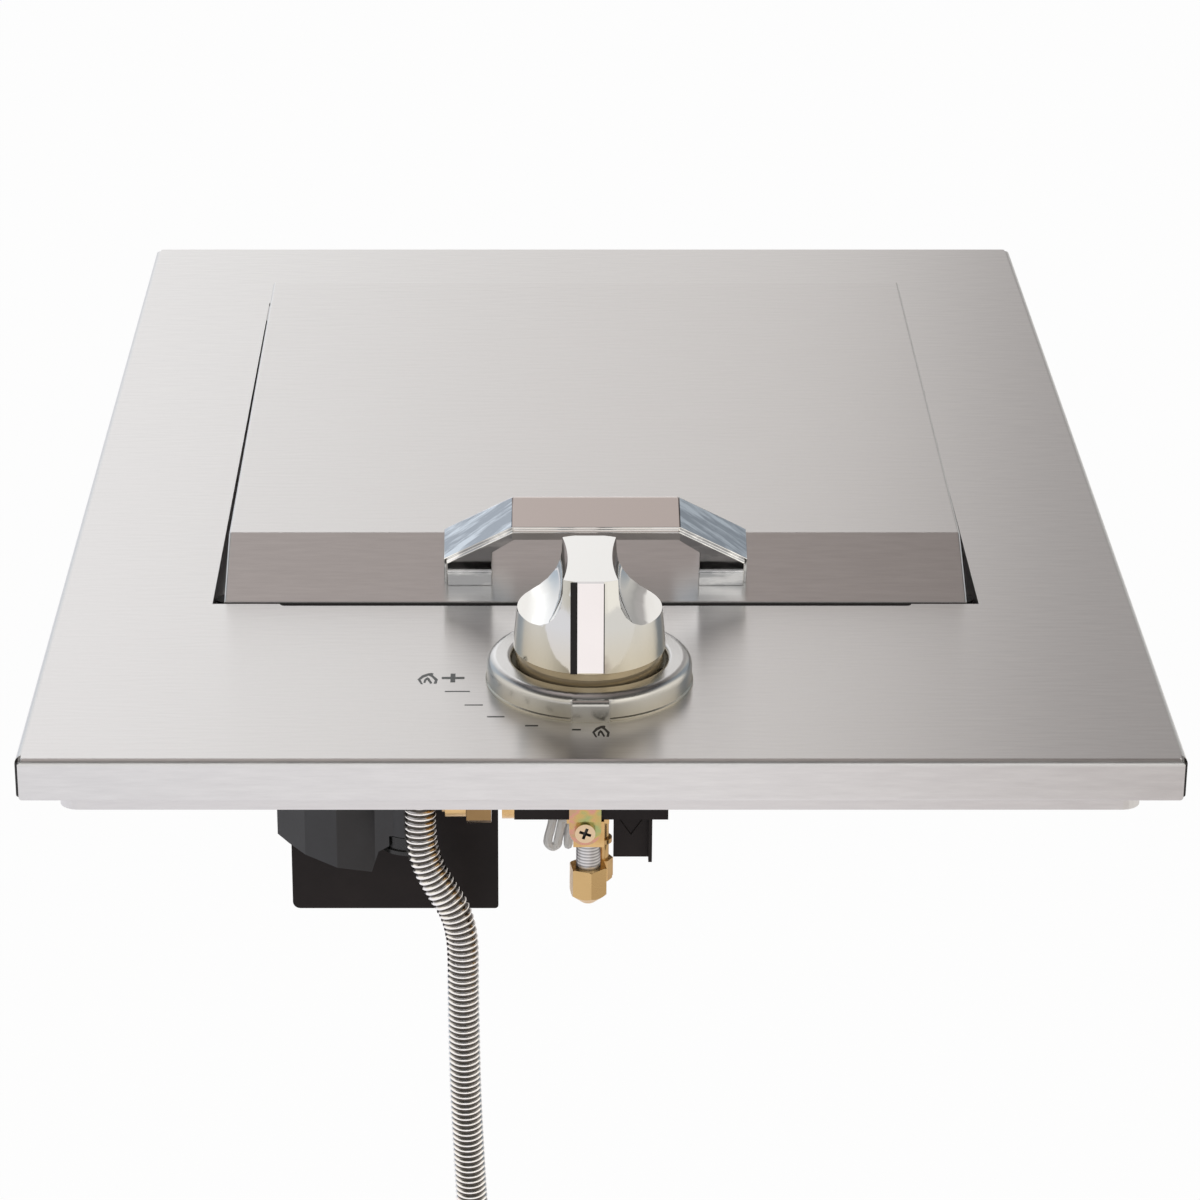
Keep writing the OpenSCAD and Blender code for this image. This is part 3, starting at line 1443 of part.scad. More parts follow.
// Burner: stand, ported body and lift-off cap
module burner_stand() color("silver") {
    difference() {
        union() {
            block([-stand_len / 2, burner_y0 - stand_w / 2, burner_z0 - stand_t], [stand_len / 2, burner_y0 + stand_w / 2, burner_z0]);
            for (m = [0, 1]) mirror([m, 0, 0]) {
                block([stand_len / 2 - stand_t, burner_y0 - stand_w / 2, box_floor + box_t], [stand_len / 2, burner_y0 + stand_w / 2, burner_z0]);
                block([stand_len / 2, burner_y0 - stand_w / 2, box_floor + box_t], [stand_len / 2 + stand_foot, burner_y0 + stand_w / 2, box_floor + box_t + stand_t]);
            }
        }
        for (s = [-1, 1])
            rod_z(stand_screw_r + screw_fit, burner_z0 - stand_t - cut, burner_z0 + cut, s * stand_screw_at, burner_y0);
    }
}

module burner_body() color("darkgoldenrod") {
    difference() {
        union() {
            translate([0, burner_y0, 0]) rotate_extrude($fn = round_fn) polygon(rounded([
                [0, burner_z0, 0], [burner_foot_r, burner_z0, burner_round],
                [burner_r, burner_z0 + burner_h / 3, burner_round], [burner_r, burner_z1, 0], [0, burner_z1, 0]
            ]));
            intersection() {
                rod_y(boss_r, venturi_y1 - boss_len / 2, burner_y0 - burner_r / 2, tap_x, outlet_z, round_fn);
                block([-burner_r, -burner_r * 2, burner_z0 - boss_r], [burner_r, burner_y0, burner_z1]);
            }
        }
        translate([0, burner_y0, 0]) rotate_extrude($fn = round_fn) polygon([
            [0, burner_z0 + burner_wall], [burner_foot_r - burner_wall / 2, burner_z0 + burner_wall],
            [burner_r - burner_wall, burner_z0 + burner_h / 3 + burner_wall],
            [burner_r - burner_wall, burner_z1 + cut], [0, burner_z1 + cut]
        ]);
        rod_y(venturi_r + screw_fit, venturi_y1 - boss_len, venturi_y1 + seat_gap, tap_x, outlet_z, round_fn);
        block(
            [tap_x - throat_w / 2, venturi_y1, outlet_z - throat_w / 2],
            [tap_x + throat_w / 2, burner_y0 - burner_r / 2 + cut, outlet_z + throat_w / 2]
        );
        for (i = [0:port_count - 1])
            let (a = (i + 0.5) * 360 / port_count)
                if (sin(a) > 0 || abs(burner_r * cos(a) - tap_x) > boss_r + port_r)
                    translate([0, burner_y0, burner_z1 - port_drop]) rotate([0, 0, a])
                        rod_x(port_r, burner_r - 2 * burner_wall, burner_r + cut, 0, 0, port_fn);
        for (s = [-1, 1])
            rod_z(stand_screw_r + screw_fit, burner_z0 - cut, burner_z0 + burner_wall - seat_gap, s * stand_screw_at, burner_y0);
    }
}

module burner_screws() color("silver") {
    for (s = [-1, 1]) {
        rod_z(stand_screw_r, burner_z0 - stand_t, burner_z0 + burner_wall / 2, s * stand_screw_at, burner_y0);
        rod_z(stand_head_r, burner_z0 - stand_t - stand_head_t, burner_z0 - stand_t, s * stand_screw_at, burner_y0);
    }
}

module burner_cap() color("dimgray") {
    cap_in = burner_r - burner_wall - cap_fit;
    translate([0, burner_y0, burner_z1 + seat_gap]) rotate_extrude($fn = round_fn) polygon(rounded([
        [0, 0, 0], [cap_in - burner_wall / 2, 0, 0], [cap_in - burner_wall / 2, -burner_cap_skirt, 0],
        [cap_in, -burner_cap_skirt, 0], [cap_in, 0, 0], [burner_r, 0, 0], [burner_r, burner_cap_t / 2, burner_cap_edge_r],
        [burner_r * burner_cap_flat_share, burner_cap_t, burner_r / 4], [0, burner_cap_t, 0]
    ]));
}

// Spark electrode beside the burner
module electrode_bracket() color("silver") {
    difference() {
        union() {
            block(
                [stand_len / 4, electrode_y - electrode_plate_w / 2, burner_z0 - stand_t],
                [electrode_x + electrode_plate_w / 2, burner_y0 - stand_w / 2, burner_z0]
            );
            rod_z(electrode_plate_w / 2, burner_z0 - stand_t, ceramic_z0 + ceramic_len / 4, electrode_x, electrode_y);
        }
        rod_z(ceramic_r + screw_fit, burner_z0 - stand_t - cut, ceramic_z0 + ceramic_len, electrode_x, electrode_y);
    }
}

module electrode_ceramic() color("white") {
    difference() {
        rod_z(ceramic_r, ceramic_z0, ceramic_z0 + ceramic_len, electrode_x, electrode_y);
        rod_z(electrode_pin_r + screw_fit, ceramic_z0 - cut, ceramic_z0 + ceramic_len + cut, electrode_x, electrode_y);
    }
}

module electrode_pin() color("silver") {
    z1 = ceramic_z0 + ceramic_len + electrode_pin_high;
    rod_z(electrode_pin_r, ceramic_z0 - electrode_pin_low, z1, electrode_x, electrode_y);
    translate([electrode_x, electrode_y, z1 - electrode_pin_r])
        rotate([0, 90, atan2(burner_y0 - electrode_y, -electrode_x)])
            cylinder(r = electrode_pin_r, h = electrode_tip, $fn = small_fn);
}

// Grate: a cast frame, a centre ring and eight fingers
module grate() color("black") {
    half = [grate_w / 2, grate_d / 2];
    inside = half - [grate_bar, grate_bar];
    corner_turn = atan2(inside.y, inside.x);
    start = grate_ring_r - grate_ring_w / 2;
    translate([0, burner_y0, grate_top - grate_bar]) {
        difference() {
            block([-half.x, -half.y, 0], [half.x, half.y, grate_bar]);
            block([-inside.x, -inside.y, -cut], [inside.x, inside.y, grate_bar + cut]);
        }
        difference() {
            cylinder(r = grate_ring_r, h = grate_bar, $fn = round_fn);
            translate([0, 0, -cut])
                cylinder(r = grate_ring_r - grate_ring_w, h = grate_bar + 2 * cut, $fn = round_fn);
        }
        for (arm = [
            [0, inside.x], [90, inside.y], [180, inside.x], [270, inside.y],
            [corner_turn, norm(inside)], [180 - corner_turn, norm(inside)],
            [180 + corner_turn, norm(inside)], [-corner_turn, norm(inside)]
        ])
            rotate([0, 0, arm[0]])
                block([start, -grate_finger_w / 2, 0], [arm[1] + grate_bar / 2, grate_finger_w / 2, grate_bar]);
    }
}

deck_panel();
drop_in_frame();
burner_box();
grate_ledges();
lid_bumpers();
hinge_bracket_left();
hinge_bracket_right();
hinge_pins();
lid_arm_left();
lid_arm_right();
lid_shell();
handle();
handle_screws();
bezel();
bezel_screws();
knob();
knob_line();
valve_stem();
valve_plug();
valve_body();
valve_cover();
cover_screws();
ignition_switch();
manifold();
manifold_plug();
saddle_strap();
strap_screw();
outlet_nipple();
cap_nut();
bypass_screw();
inlet_adapter();
inlet_nut();
inlet_elbow();
hose();
hose_end_nut();
module_bracket();
ignition_module();
battery();
battery_cap();
rail_bracket();
rail_screw();
bracket_studs();
switch_lead();
ignition_lead();
orifice();
venturi_tube();
air_shutter();
burner_stand();
burner_body();
burner_screws();
burner_cap();
electrode_bracket();
electrode_ceramic();
electrode_pin();
grate();
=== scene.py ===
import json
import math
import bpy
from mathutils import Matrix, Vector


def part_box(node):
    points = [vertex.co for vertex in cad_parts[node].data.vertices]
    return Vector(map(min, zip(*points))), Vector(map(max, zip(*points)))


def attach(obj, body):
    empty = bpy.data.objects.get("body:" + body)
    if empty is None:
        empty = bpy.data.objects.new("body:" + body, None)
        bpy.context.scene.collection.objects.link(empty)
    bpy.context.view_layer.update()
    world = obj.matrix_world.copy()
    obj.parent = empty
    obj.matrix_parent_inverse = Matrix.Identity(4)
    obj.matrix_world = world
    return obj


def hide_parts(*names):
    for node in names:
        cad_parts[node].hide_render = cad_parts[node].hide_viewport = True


bl_info = {
    "name": "Drop-in Side Burner",
    "version": (1, 0, 0),
    "blender": (4, 5, 0),
    "location": "3D View > Sidebar > Side Burner",
    "description": "Finishes, gas hose and deck marks of the drop-in side burner",
    "category": "Object",
}

import bmesh
import bpy
from mathutils import Matrix, Vector

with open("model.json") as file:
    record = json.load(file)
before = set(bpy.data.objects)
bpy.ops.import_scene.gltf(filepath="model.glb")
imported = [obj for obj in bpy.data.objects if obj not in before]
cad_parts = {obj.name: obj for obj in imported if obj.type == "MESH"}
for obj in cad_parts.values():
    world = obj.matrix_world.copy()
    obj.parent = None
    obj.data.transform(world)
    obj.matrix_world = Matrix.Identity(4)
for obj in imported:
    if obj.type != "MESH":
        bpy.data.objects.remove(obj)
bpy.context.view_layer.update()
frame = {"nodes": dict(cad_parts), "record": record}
DECK_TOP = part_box("deck_panel")[1].z
LID_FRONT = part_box("lid_shell")[0].y
LID_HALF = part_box("lid_shell")[1].x
PANEL_TAB = "Side Burner"


# Shader node helpers, for a material's tree or the world's


def new_finish(name, colour, metallic=0.0, roughness=0.5):
    """A material with one shader, its own sockets set to the plain values."""
    finish = bpy.data.materials.new(name)
    finish.use_nodes = True
    shader = finish.node_tree.nodes["Principled BSDF"]
    shader.inputs["Base Color"].default_value = (*colour, 1)
    shader.inputs["Metallic"].default_value = metallic
    shader.inputs["Roughness"].default_value = roughness
    return finish


def add_node(finish, kind, **settings):
    node = finish.node_tree.nodes.new(kind)
    for key, value in settings.items():
        if key in node.inputs:
            node.inputs[key].default_value = value
        else:
            setattr(node, key, value)
    return node


def join(finish, out_socket, in_socket):
    finish.node_tree.links.new(out_socket, in_socket)


def feed(finish, value, in_socket):
    """Sets a socket to a plain number, or joins another socket to it."""
    if isinstance(value, (int, float)):
        in_socket.default_value = value
    else:
        join(finish, value, in_socket)


def shader_of(finish):
    return finish.node_tree.nodes["Principled BSDF"]


def object_axes(finish):
    """The point's X, Y and Z in Object coordinates, as the outputs of one node."""
    apart = add_node(finish, "ShaderNodeSeparateXYZ")
    join(finish, add_node(finish, "ShaderNodeTexCoord").outputs["Object"], apart.inputs[0])
    return apart.outputs


def grain(finish, scale, detail=3.0):
    """Noise on Object coordinates, stretched by scale; returns its factor socket."""
    place = add_node(finish, "ShaderNodeTexCoord")
    mapping = add_node(finish, "ShaderNodeMapping", Scale=scale)
    noise = add_node(finish, "ShaderNodeTexNoise", Detail=detail, Roughness=0.6, Scale=1.0)
    join(finish, place.outputs["Object"], mapping.inputs["Vector"])
    join(finish, mapping.outputs["Vector"], noise.inputs["Vector"])
    return noise.outputs["Fac"]


def spread(finish, factor, low, high, inner=(0.3, 0.7)):
    """Maps the inner range of a factor to a range of plain numbers."""
    span = add_node(finish, "ShaderNodeMapRange")
    span.inputs["From Min"].default_value = inner[0]
    span.inputs["From Max"].default_value = inner[1]
    span.inputs["To Min"].default_value = low
    span.inputs["To Max"].default_value = high
    join(finish, factor, span.inputs["Value"])
    return span.outputs["Result"]


def ramp_of(finish, factor, stops):
    """A colour ramp through pairs of place and colour; returns its colour socket."""
    ramp = add_node(finish, "ShaderNodeValToRGB")
    marks = ramp.color_ramp.elements
    while len(marks) < len(stops):
        marks.new(0.5)
    for mark, (place, colour) in zip(marks, stops):
        mark.position = place
        mark.color = (*colour, 1)
    join(finish, factor, ramp.inputs["Fac"])
    return ramp.outputs["Color"]


def tint(finish, factor, first, second, inner=(0.3, 0.7)):
    """Colours the surface between two colours by a factor."""
    colour = ramp_of(finish, factor, ((inner[0], first), (inner[1], second)))
    join(finish, colour, shader_of(finish).inputs["Base Color"])


def roughen(finish, factor, low, high):
    """Varies the surface's roughness by a factor."""
    join(finish, spread(finish, factor, low, high), shader_of(finish).inputs["Roughness"])


def relief(finish, factor, strength, distance):
    bump = add_node(finish, "ShaderNodeBump", Strength=strength, Distance=distance)
    join(finish, factor, bump.inputs["Height"])
    join(finish, bump.outputs["Normal"], shader_of(finish).inputs["Normal"])


def math_of(finish, operation, *values):
    """A math node on sockets or plain numbers; returns its value socket."""
    node = add_node(finish, "ShaderNodeMath", operation=operation)
    for socket, value in zip(node.inputs, values):
        feed(finish, value, socket)
    return node.outputs[0]


def mix_colours(finish, factor, first, second, how="MIX"):
    """Blends two colour sockets by a factor; returns the blend's socket."""
    blend = add_node(finish, "ShaderNodeMix", data_type="RGBA", blend_type=how)
    feed(finish, factor, blend.inputs["Factor"])
    join(finish, first, blend.inputs["A"])
    join(finish, second, blend.inputs["B"])
    return blend.outputs["Result"]


def mix_shaders(finish, factor, first, second):
    """Blends two shader sockets by a factor; returns the blend's socket."""
    blend = add_node(finish, "ShaderNodeMixShader")
    join(finish, factor, blend.inputs["Fac"])
    join(finish, first, blend.inputs[1])
    join(finish, second, blend.inputs[2])
    return blend.outputs[0]


def masked(finish, mask, colour, metal=0.0):
    """Turns to another colour and metallic value where the mask is one."""
    shader = shader_of(finish)
    blend = add_node(finish, "ShaderNodeMix", data_type="RGBA")
    join(finish, mask, blend.inputs["Factor"])
    before = shader.inputs["Base Color"]
    join(finish, before.links[0].from_socket, blend.inputs["A"])
    blend.inputs["B"].default_value = (*colour, 1)
    join(finish, blend.outputs["Result"], before)
    level = shader.inputs["Metallic"]
    step = add_node(finish, "ShaderNodeMix", data_type="FLOAT")
    join(finish, mask, step.inputs["Factor"])
    feed(finish, level.links[0].from_socket if level.is_linked else level.default_value,
         step.inputs["A"])
    step.inputs["B"].default_value = metal
    join(finish, step.outputs["Result"], level)
    return finish


# Grows each mask's box, so that faces on its sides are inside it
MASK_MARGIN = 5e-5


def inside_box(finish, low, high):
    """One inside a box in Object coordinates, else zero."""
    axes = object_axes(finish)
    within = [math_of(finish, "COMPARE", axes[k], (low[k] + high[k]) / 2,
                      (high[k] - low[k]) / 2 + MASK_MARGIN)
              for k in range(3)]
    flat = math_of(finish, "MULTIPLY", within[0], within[1])
    return math_of(finish, "MULTIPLY", flat, within[2])


# Kinds of finish


def brushed_sheet(name, first, second, rough, cross=0.6):
    """Sheet steel brushed from side to side, which smears what it mirrors across the brushing."""
    finish = new_finish(name, first, 1.0, rough[0])
    lines = grain(finish, (70, 640, 640), 5.0)
    tint(finish, lines, first, second)
    roughen(finish, lines, *rough)
    shader_of(finish).inputs["Anisotropic"].default_value = cross
    across = add_node(finish, "ShaderNodeCombineXYZ", X=0.0, Y=1.0, Z=1.0)
    join(finish, across.outputs[0], shader_of(finish).inputs["Tangent"])
    return finish


def plated(name, colour, roughness, smudge=0.05, warm=None, low=0.0, high=0.0):
    """Polished plating with faint smudges; a warm tint, if given, runs from low up to high, as a
    painted warm reflection.
    """
    finish = new_finish(name, colour, 1.0, roughness)
    roughen(finish, grain(finish, (60, 60, 60), 4.0), roughness, roughness + smudge)
    if warm:
        rise = spread(finish, object_axes(finish)["Z"], 0.0, 1.0, (low, high))
        tint(finish, rise, warm, colour, (0.0, 1.0))
    return finish


def machined(name, first, second, roughness):
    """Turned or cast metal with tarnish and tool marks."""
    finish = new_finish(name, first, 1.0, roughness)
    blotch = grain(finish, (120, 120, 120), 5.0)
    tint(finish, blotch, first, second)
    roughen(finish, blotch, roughness, roughness + 0.15)
    relief(finish, grain(finish, (900, 900, 900), 2.0), 0.15, 0.0001)
    return finish


def painted(name, first, second, roughness, speck=1400.0, depth=0.2, shine=0.5):
    """Paint, enamel or moulded plastic with a fine texture."""
    finish = new_finish(name, first, 0.0, roughness)
    shader_of(finish).inputs["Specular IOR Level"].default_value = shine
    tint(finish, grain(finish, (40, 40, 40), 4.0), first, second)
    fine = grain(finish, (speck, speck, speck), 2.0)
    roughen(finish, fine, roughness, roughness + 0.12)
    relief(finish, fine, depth, 0.0001)
    return finish


# Finishes of single slots

# The deck's open seams lie beyond these distances from its middle
SEAM_X = 0.17995
SEAM_Y = 0.2508
# The lid's lip: its reach to both sides of the lid's front, and its top in the slot
LIP_REACH = 0.0006
LIP_TOP = DECK_TOP - 0.0001
# Painted shade in the deck's open seams and on the lid's lip in the slot
SEAM_SHADE = (0.012, 0.010, 0.009)


def deck_sheet():
    """Brushed steel of deck and lid, with painted shade in the four open seams and on the lid's
    dipping lip.
    """
    finish = brushed_sheet("deck_steel", (0.655, 0.65, 0.645), (0.73, 0.725, 0.72),
                           (0.28, 0.32), 0.82)
    axes = object_axes(finish)
    beyond = [math_of(finish, "GREATER_THAN", math_of(finish, "ABSOLUTE", axes[k]), limit)
              for k, limit in ((0, SEAM_X), (1, SEAM_Y))]
    seam_shade = math_of(finish, "MULTIPLY", beyond[0], beyond[1])
    lip = inside_box(finish, (-LID_HALF, LID_FRONT - LIP_REACH, 0.0),
                     (LID_HALF, LID_FRONT + LIP_REACH, LIP_TOP))
    # Seams and lip are both painted dark as shade
    return masked(finish, math_of(finish, "MAXIMUM", seam_shade, lip), SEAM_SHADE)


HOSE_BRIGHT = (0.92, 0.90, 0.88)
# Painted shade, down in the hose's valleys
HOSE_VALLEY_SHADE = (0.09, 0.08, 0.07)


def hose_plating():
    """Bright corrugated steel with painted shade down in its valleys."""
    finish = plated("hose_steel", HOSE_BRIGHT, 0.16, 0.06)
    valley_shade = add_node(finish, "ShaderNodeAttribute", attribute_name="valley_shade")
    tint(finish, valley_shade.outputs["Fac"], HOSE_BRIGHT, HOSE_VALLEY_SHADE, (0.3, 0.85))
    return finish


# The knob's axis; the heights are above the deck, the distances from the axis
KNOB_AXIS = (-0.0029, -0.1925)
# Heights over which the painted warm reflection fades up the knob
KNOB_REFLECTION_LOW = 0.006
KNOB_REFLECTION_HIGH = 0.027
COLLAR_TOP = 0.01235
# Height of the grip's end faces: middle and half length, and how far out they stand
GRIP_MIDDLE = 0.027
GRIP_HALF = 0.0144
GRIP_OUT = 0.012
# Each end's panel, painted pale as a painted reflection: its half width, and half the width of its
# dark edge line
PANEL_HALF = 0.00428
EDGE_HALF = 0.00016


def knob_plating():
    """Chrome with a painted warm reflection towards its foot, each end's panel painted pale as a
    painted reflection, and its dark edge.
    """
    finish = plated("knob_chrome", (0.65, 0.65, 0.64), 0.05, 0.04, (0.64, 0.57, 0.43),
                    DECK_TOP + KNOB_REFLECTION_LOW, DECK_TOP + KNOB_REFLECTION_HIGH)
    axes = object_axes(finish)
    ahead = math_of(finish, "SUBTRACT", axes["Y"], KNOB_AXIS[1])
    across = math_of(finish, "SUBTRACT", axes["X"], KNOB_AXIS[0])
    turned = math_of(finish, "MULTIPLY", across, math_of(finish, "SIGN", ahead))
    far_out = math_of(finish, "GREATER_THAN", math_of(finish, "ABSOLUTE", ahead), GRIP_OUT)
    on_grip = math_of(finish, "COMPARE", axes["Z"], DECK_TOP + GRIP_MIDDLE, GRIP_HALF)
    on_end = math_of(finish, "MULTIPLY", far_out, on_grip)
    panel = math_of(finish, "COMPARE", turned, 0.0, PANEL_HALF)
    edge = math_of(finish, "COMPARE", turned, -PANEL_HALF, EDGE_HALF)
    collar = math_of(finish, "LESS_THAN", axes["Z"], DECK_TOP + COLLAR_TOP)
    # Painted reflection: each end's flat panel is painted pale
    masked(finish, math_of(finish, "MULTIPLY", panel, on_end), (0.85, 0.82, 0.80), 1.0)
    masked(finish, math_of(finish, "MULTIPLY", edge, on_end), (0.03, 0.028, 0.026))
    # Painted warm reflection and shade: the collar at the foot is darker gold
    return masked(finish, collar, (0.50, 0.41, 0.27), 0.6)


HANDLE_BRIGHT = (0.82, 0.80, 0.785)
# Half length of the handle's flat top
HANDLE_FLAT = 0.028


def handle_plating():
    """Polished casting; its slanted ends are painted light and dark in a streaked painted
    reflection.
    """
    finish = plated("handle_metal", HANDLE_BRIGHT, 0.06, 0.05)
    # Painted reflection in light and dark streaks, on all but the flat top
    painted_streaks = grain(finish, (50, 320, 50), 5.0)
    tint(finish, painted_streaks, (0.58, 0.585, 0.60), (1.0, 1.0, 1.0), (0.47, 0.62))
    flat_top = math_of(finish, "COMPARE", object_axes(finish)["X"], 0.0, HANDLE_FLAT)
    return masked(finish, flat_top, HANDLE_BRIGHT, 1.0)


PRINT_GREY = (0.15, 0.165, 0.17)
PRINT_BLACK = (0.012, 0.010, 0.010)
# The printing turns from grey to black between these two places
PRINT_FADE = (-0.045, -0.012)


def printed():
    """Deck printing, grey on the left of the dial and black at its foot."""
    finish = painted("mark_black", PRINT_GREY, PRINT_BLACK, 0.35, shine=0.25)
    fade = spread(finish, object_axes(finish)["X"], 0.0, 1.0, PRINT_FADE)
    tint(finish, fade, PRINT_GREY, PRINT_BLACK, (0.0, 1.0))
    return finish


def brass():
    """Cast brass; the nut on the inlet is painted dark as shade, and the cap nut under the tap has
    a little painted shade.
    """
    finish = machined("valve_brass", (0.56, 0.35, 0.14), (0.80, 0.56, 0.27), 0.22)
    # Painted shade: the cap nut a little darker
    masked(finish, inside_box(finish, *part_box("cap_nut")), (0.62, 0.42, 0.19), 1.0)
    # Painted shade: the inlet nut dark
    return masked(finish, inside_box(finish, *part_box("inlet_nut")), (0.30, 0.19, 0.085), 1.0)


# The thread's rings, painted as shade and highlight one pitch apart
THREAD_PITCH = 0.0011
THREAD_SHADE = (0.24, 0.235, 0.235)
THREAD_HIGHLIGHT = (0.72, 0.71, 0.70)


def threaded():
    """Steel with the fine rings of a thread, painted as rings of shade and highlight."""
    finish = machined("stem_steel", THREAD_SHADE, THREAD_HIGHLIGHT, 0.3)
    rings = math_of(finish, "PINGPONG", object_axes(finish)["Z"], THREAD_PITCH / 2)
    tint(finish, spread(finish, rings, 0.0, 1.0, (0.0, THREAD_PITCH / 2)),
         THREAD_SHADE, THREAD_HIGHLIGHT, (0.0, 0.75))
    return finish


# The strap screw's recess, painted dark as shade: its share of the head's width to each side, and
# its depth range
RECESS_SHARE = 0.3
RECESS_FRONT = 0.0001
RECESS_BACK = 0.003


def screws():
    """Steel screws; the one in the strap is plated yellow and has painted shade in the cross of
    its head.
    """
    finish = machined("screw_steel", (0.66, 0.66, 0.64), (0.74, 0.73, 0.70), 0.26)
    low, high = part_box("strap_screw")
    middle = (low + high) / 2
    reach = (high.x - low.x) * RECESS_SHARE
    masked(finish, inside_box(finish, low, high), (0.72, 0.55, 0.36), 1.0)
    recess_shade = inside_box(finish, (middle.x - reach, low.y + RECESS_FRONT, middle.z - reach),
                        (middle.x + reach, low.y + RECESS_BACK, middle.z + reach))
    # Painted shade in the screw head's recess
    return masked(finish, recess_shade, (0.02, 0.015, 0.012))


# The yellow plating's sheen, from olive through gold and rose
ZINC_SHEEN = (
    (0.36, (0.36, 0.42, 0.18)), (0.46, (0.56, 0.40, 0.15)), (0.54, (0.62, 0.31, 0.24)),
    (0.64, (0.46, 0.37, 0.18)),
)


def zinc():
    """Yellow zinc plating, which shimmers from gold to rose and green."""
    finish = new_finish("strap_zinc", (0.7, 0.6, 0.35), 1.0, 0.25)
    colour = ramp_of(finish, grain(finish, (110, 110, 160), 2.0), ZINC_SHEEN)
    join(finish, colour, shader_of(finish).inputs["Base Color"])
    return finish


def frame_sheet():
    """Plain sheet steel of the frame and the burner box."""
    return brushed_sheet("frame_steel", (0.66, 0.65, 0.65), (0.74, 0.73, 0.73), (0.34, 0.44))


# Height of the bezel, over which its painted warm reflection fades
BEZEL_HEIGHT = 0.009


def bezel_plating():
    """Duller plating than the knob's, with a painted warm reflection at its foot."""
    return plated("bezel_metal", (0.54, 0.54, 0.54), 0.21, 0.06,
                  (0.50, 0.46, 0.38), DECK_TOP, DECK_TOP + BEZEL_HEIGHT)


OWN_FINISHES = {
    "deck_steel": deck_sheet,
    "frame_steel": frame_sheet,
    "screw_steel": screws,
    "handle_metal": handle_plating,
    "bezel_metal": bezel_plating,
    "knob_chrome": knob_plating,
    "mark_black": printed,
    "stem_steel": threaded,
    "valve_brass": brass,
    "strap_zinc": zinc,
    "hose_steel": hose_plating,
}
# Two colours and the roughness of each other metal
METALS = {
    "hinge_steel": ((0.5, 0.5, 0.5), (0.6, 0.6, 0.6), 0.32),
    "tube_aluminium": ((0.6, 0.6, 0.61), (0.7, 0.7, 0.71), 0.35),
    "stand_steel": ((0.52, 0.52, 0.51), (0.62, 0.62, 0.61), 0.34),
    "burner_brass": ((0.5, 0.35, 0.14), (0.62, 0.46, 0.22), 0.36),
}
# Two colours and the roughness of each coat or plastic, then speck size, depth and shine
COATS = {
    "black_paint": ((0.014, 0.011, 0.011), (0.022, 0.017, 0.017), 0.3, 1400.0, 0.2, 0.16),
    "module_plastic": ((0.010, 0.010, 0.012), (0.020, 0.021, 0.025), 0.28, 1400.0, 0.2, 0.6),
    "cap_plastic": ((0.01, 0.01, 0.01), (0.018, 0.018, 0.018), 0.2),
    "battery_case": ((0.03, 0.03, 0.035), (0.05, 0.05, 0.06), 0.35),
    "lead_sleeve": ((0.78, 0.79, 0.81), (0.88, 0.89, 0.91), 0.45),
    "enamel_black": ((0.012, 0.012, 0.012), (0.022, 0.022, 0.022), 0.22),
    "ceramic_white": ((0.8, 0.78, 0.74), (0.86, 0.84, 0.8), 0.18),
    "grate_iron": ((0.015, 0.015, 0.015), (0.03, 0.03, 0.03), 0.5, 700.0, 0.6),
    "bumper_rubber": ((0.012, 0.012, 0.012), (0.02, 0.02, 0.02), 0.6),
}
SLOT_OF = {part["node"]: part["material_slot"] for part in frame["record"]["subparts"]}
made = {}


def finish_of(slot):
    """The finish of a slot, made at its first use."""
    if slot not in made:
        if slot in METALS:
            made[slot] = machined(slot, *METALS[slot])
        elif slot in COATS:
            made[slot] = painted(slot, *COATS[slot])
        else:
            made[slot] = OWN_FINISHES[slot]()
    return made[slot]


# Piece helpers

# Points of a CAD solid closer than this are one, and its faces within this angle are one face
SAME_POINT = 2e-6
SAME_FACE = math.radians(0.6)
FOLD_SEGMENTS = 5


def piece_from(mesh, name, body, slot):
    """Makes the finished object of a mesh and lets it ride on its body."""
    piece = bpy.data.objects.new(name, mesh)
    bpy.context.scene.collection.objects.link(piece)
    mesh.materials.clear()
    mesh.materials.append(finish_of(slot))
    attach(piece, body)
    return piece


def mesh_of(shape, name, angle):
    """Turns a bmesh into a smooth mesh whose edges over the angle, in degrees, stay sharp."""
    mesh = bpy.data.meshes.new(name)
    shape.to_mesh(mesh)
    shape.free()
    mesh.shade_smooth()
    mesh.set_sharp_from_angle(angle=math.radians(angle))
    return mesh


def dressed_copy(node, body, bevel, angle, segments=3, folded=None, fold=0.0):
    """A merged, smooth copy of a solid, its folded edges rounded and its hard ones bevelled."""
    shape = bmesh.new()
    shape.from_mesh(frame["nodes"][node].data)
    bmesh.ops.remove_doubles(shape, verts=shape.verts, dist=SAME_POINT)
    bmesh.ops.dissolve_limit(shape, angle_limit=SAME_FACE, verts=shape.verts, edges=shape.edges)
    if folded:
        edges = [edge for edge in shape.edges if folded(edge)]
        bmesh.ops.bevel(shape, geom=edges, offset=fold, segments=FOLD_SEGMENTS, profile=0.5,
                        affect="EDGES", material=-1)
    name = node + "_dressed"
    piece = piece_from(mesh_of(shape, name, angle), name, body, SLOT_OF[node])
    if bevel > 0:
        edge = piece.modifiers.new("Edge", "BEVEL")
        edge.width = bevel
        edge.segments = segments
        edge.limit_method = "ANGLE"
        edge.angle_limit = math.radians(angle)
        edge.harden_normals = True
    weighted = piece.modifiers.new("Flat faces stay flat", "WEIGHTED_NORMAL")
    weighted.mode = "FACE_AREA"
    weighted.weight = 100
    weighted.keep_sharp = True
    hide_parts(node)


# Properties


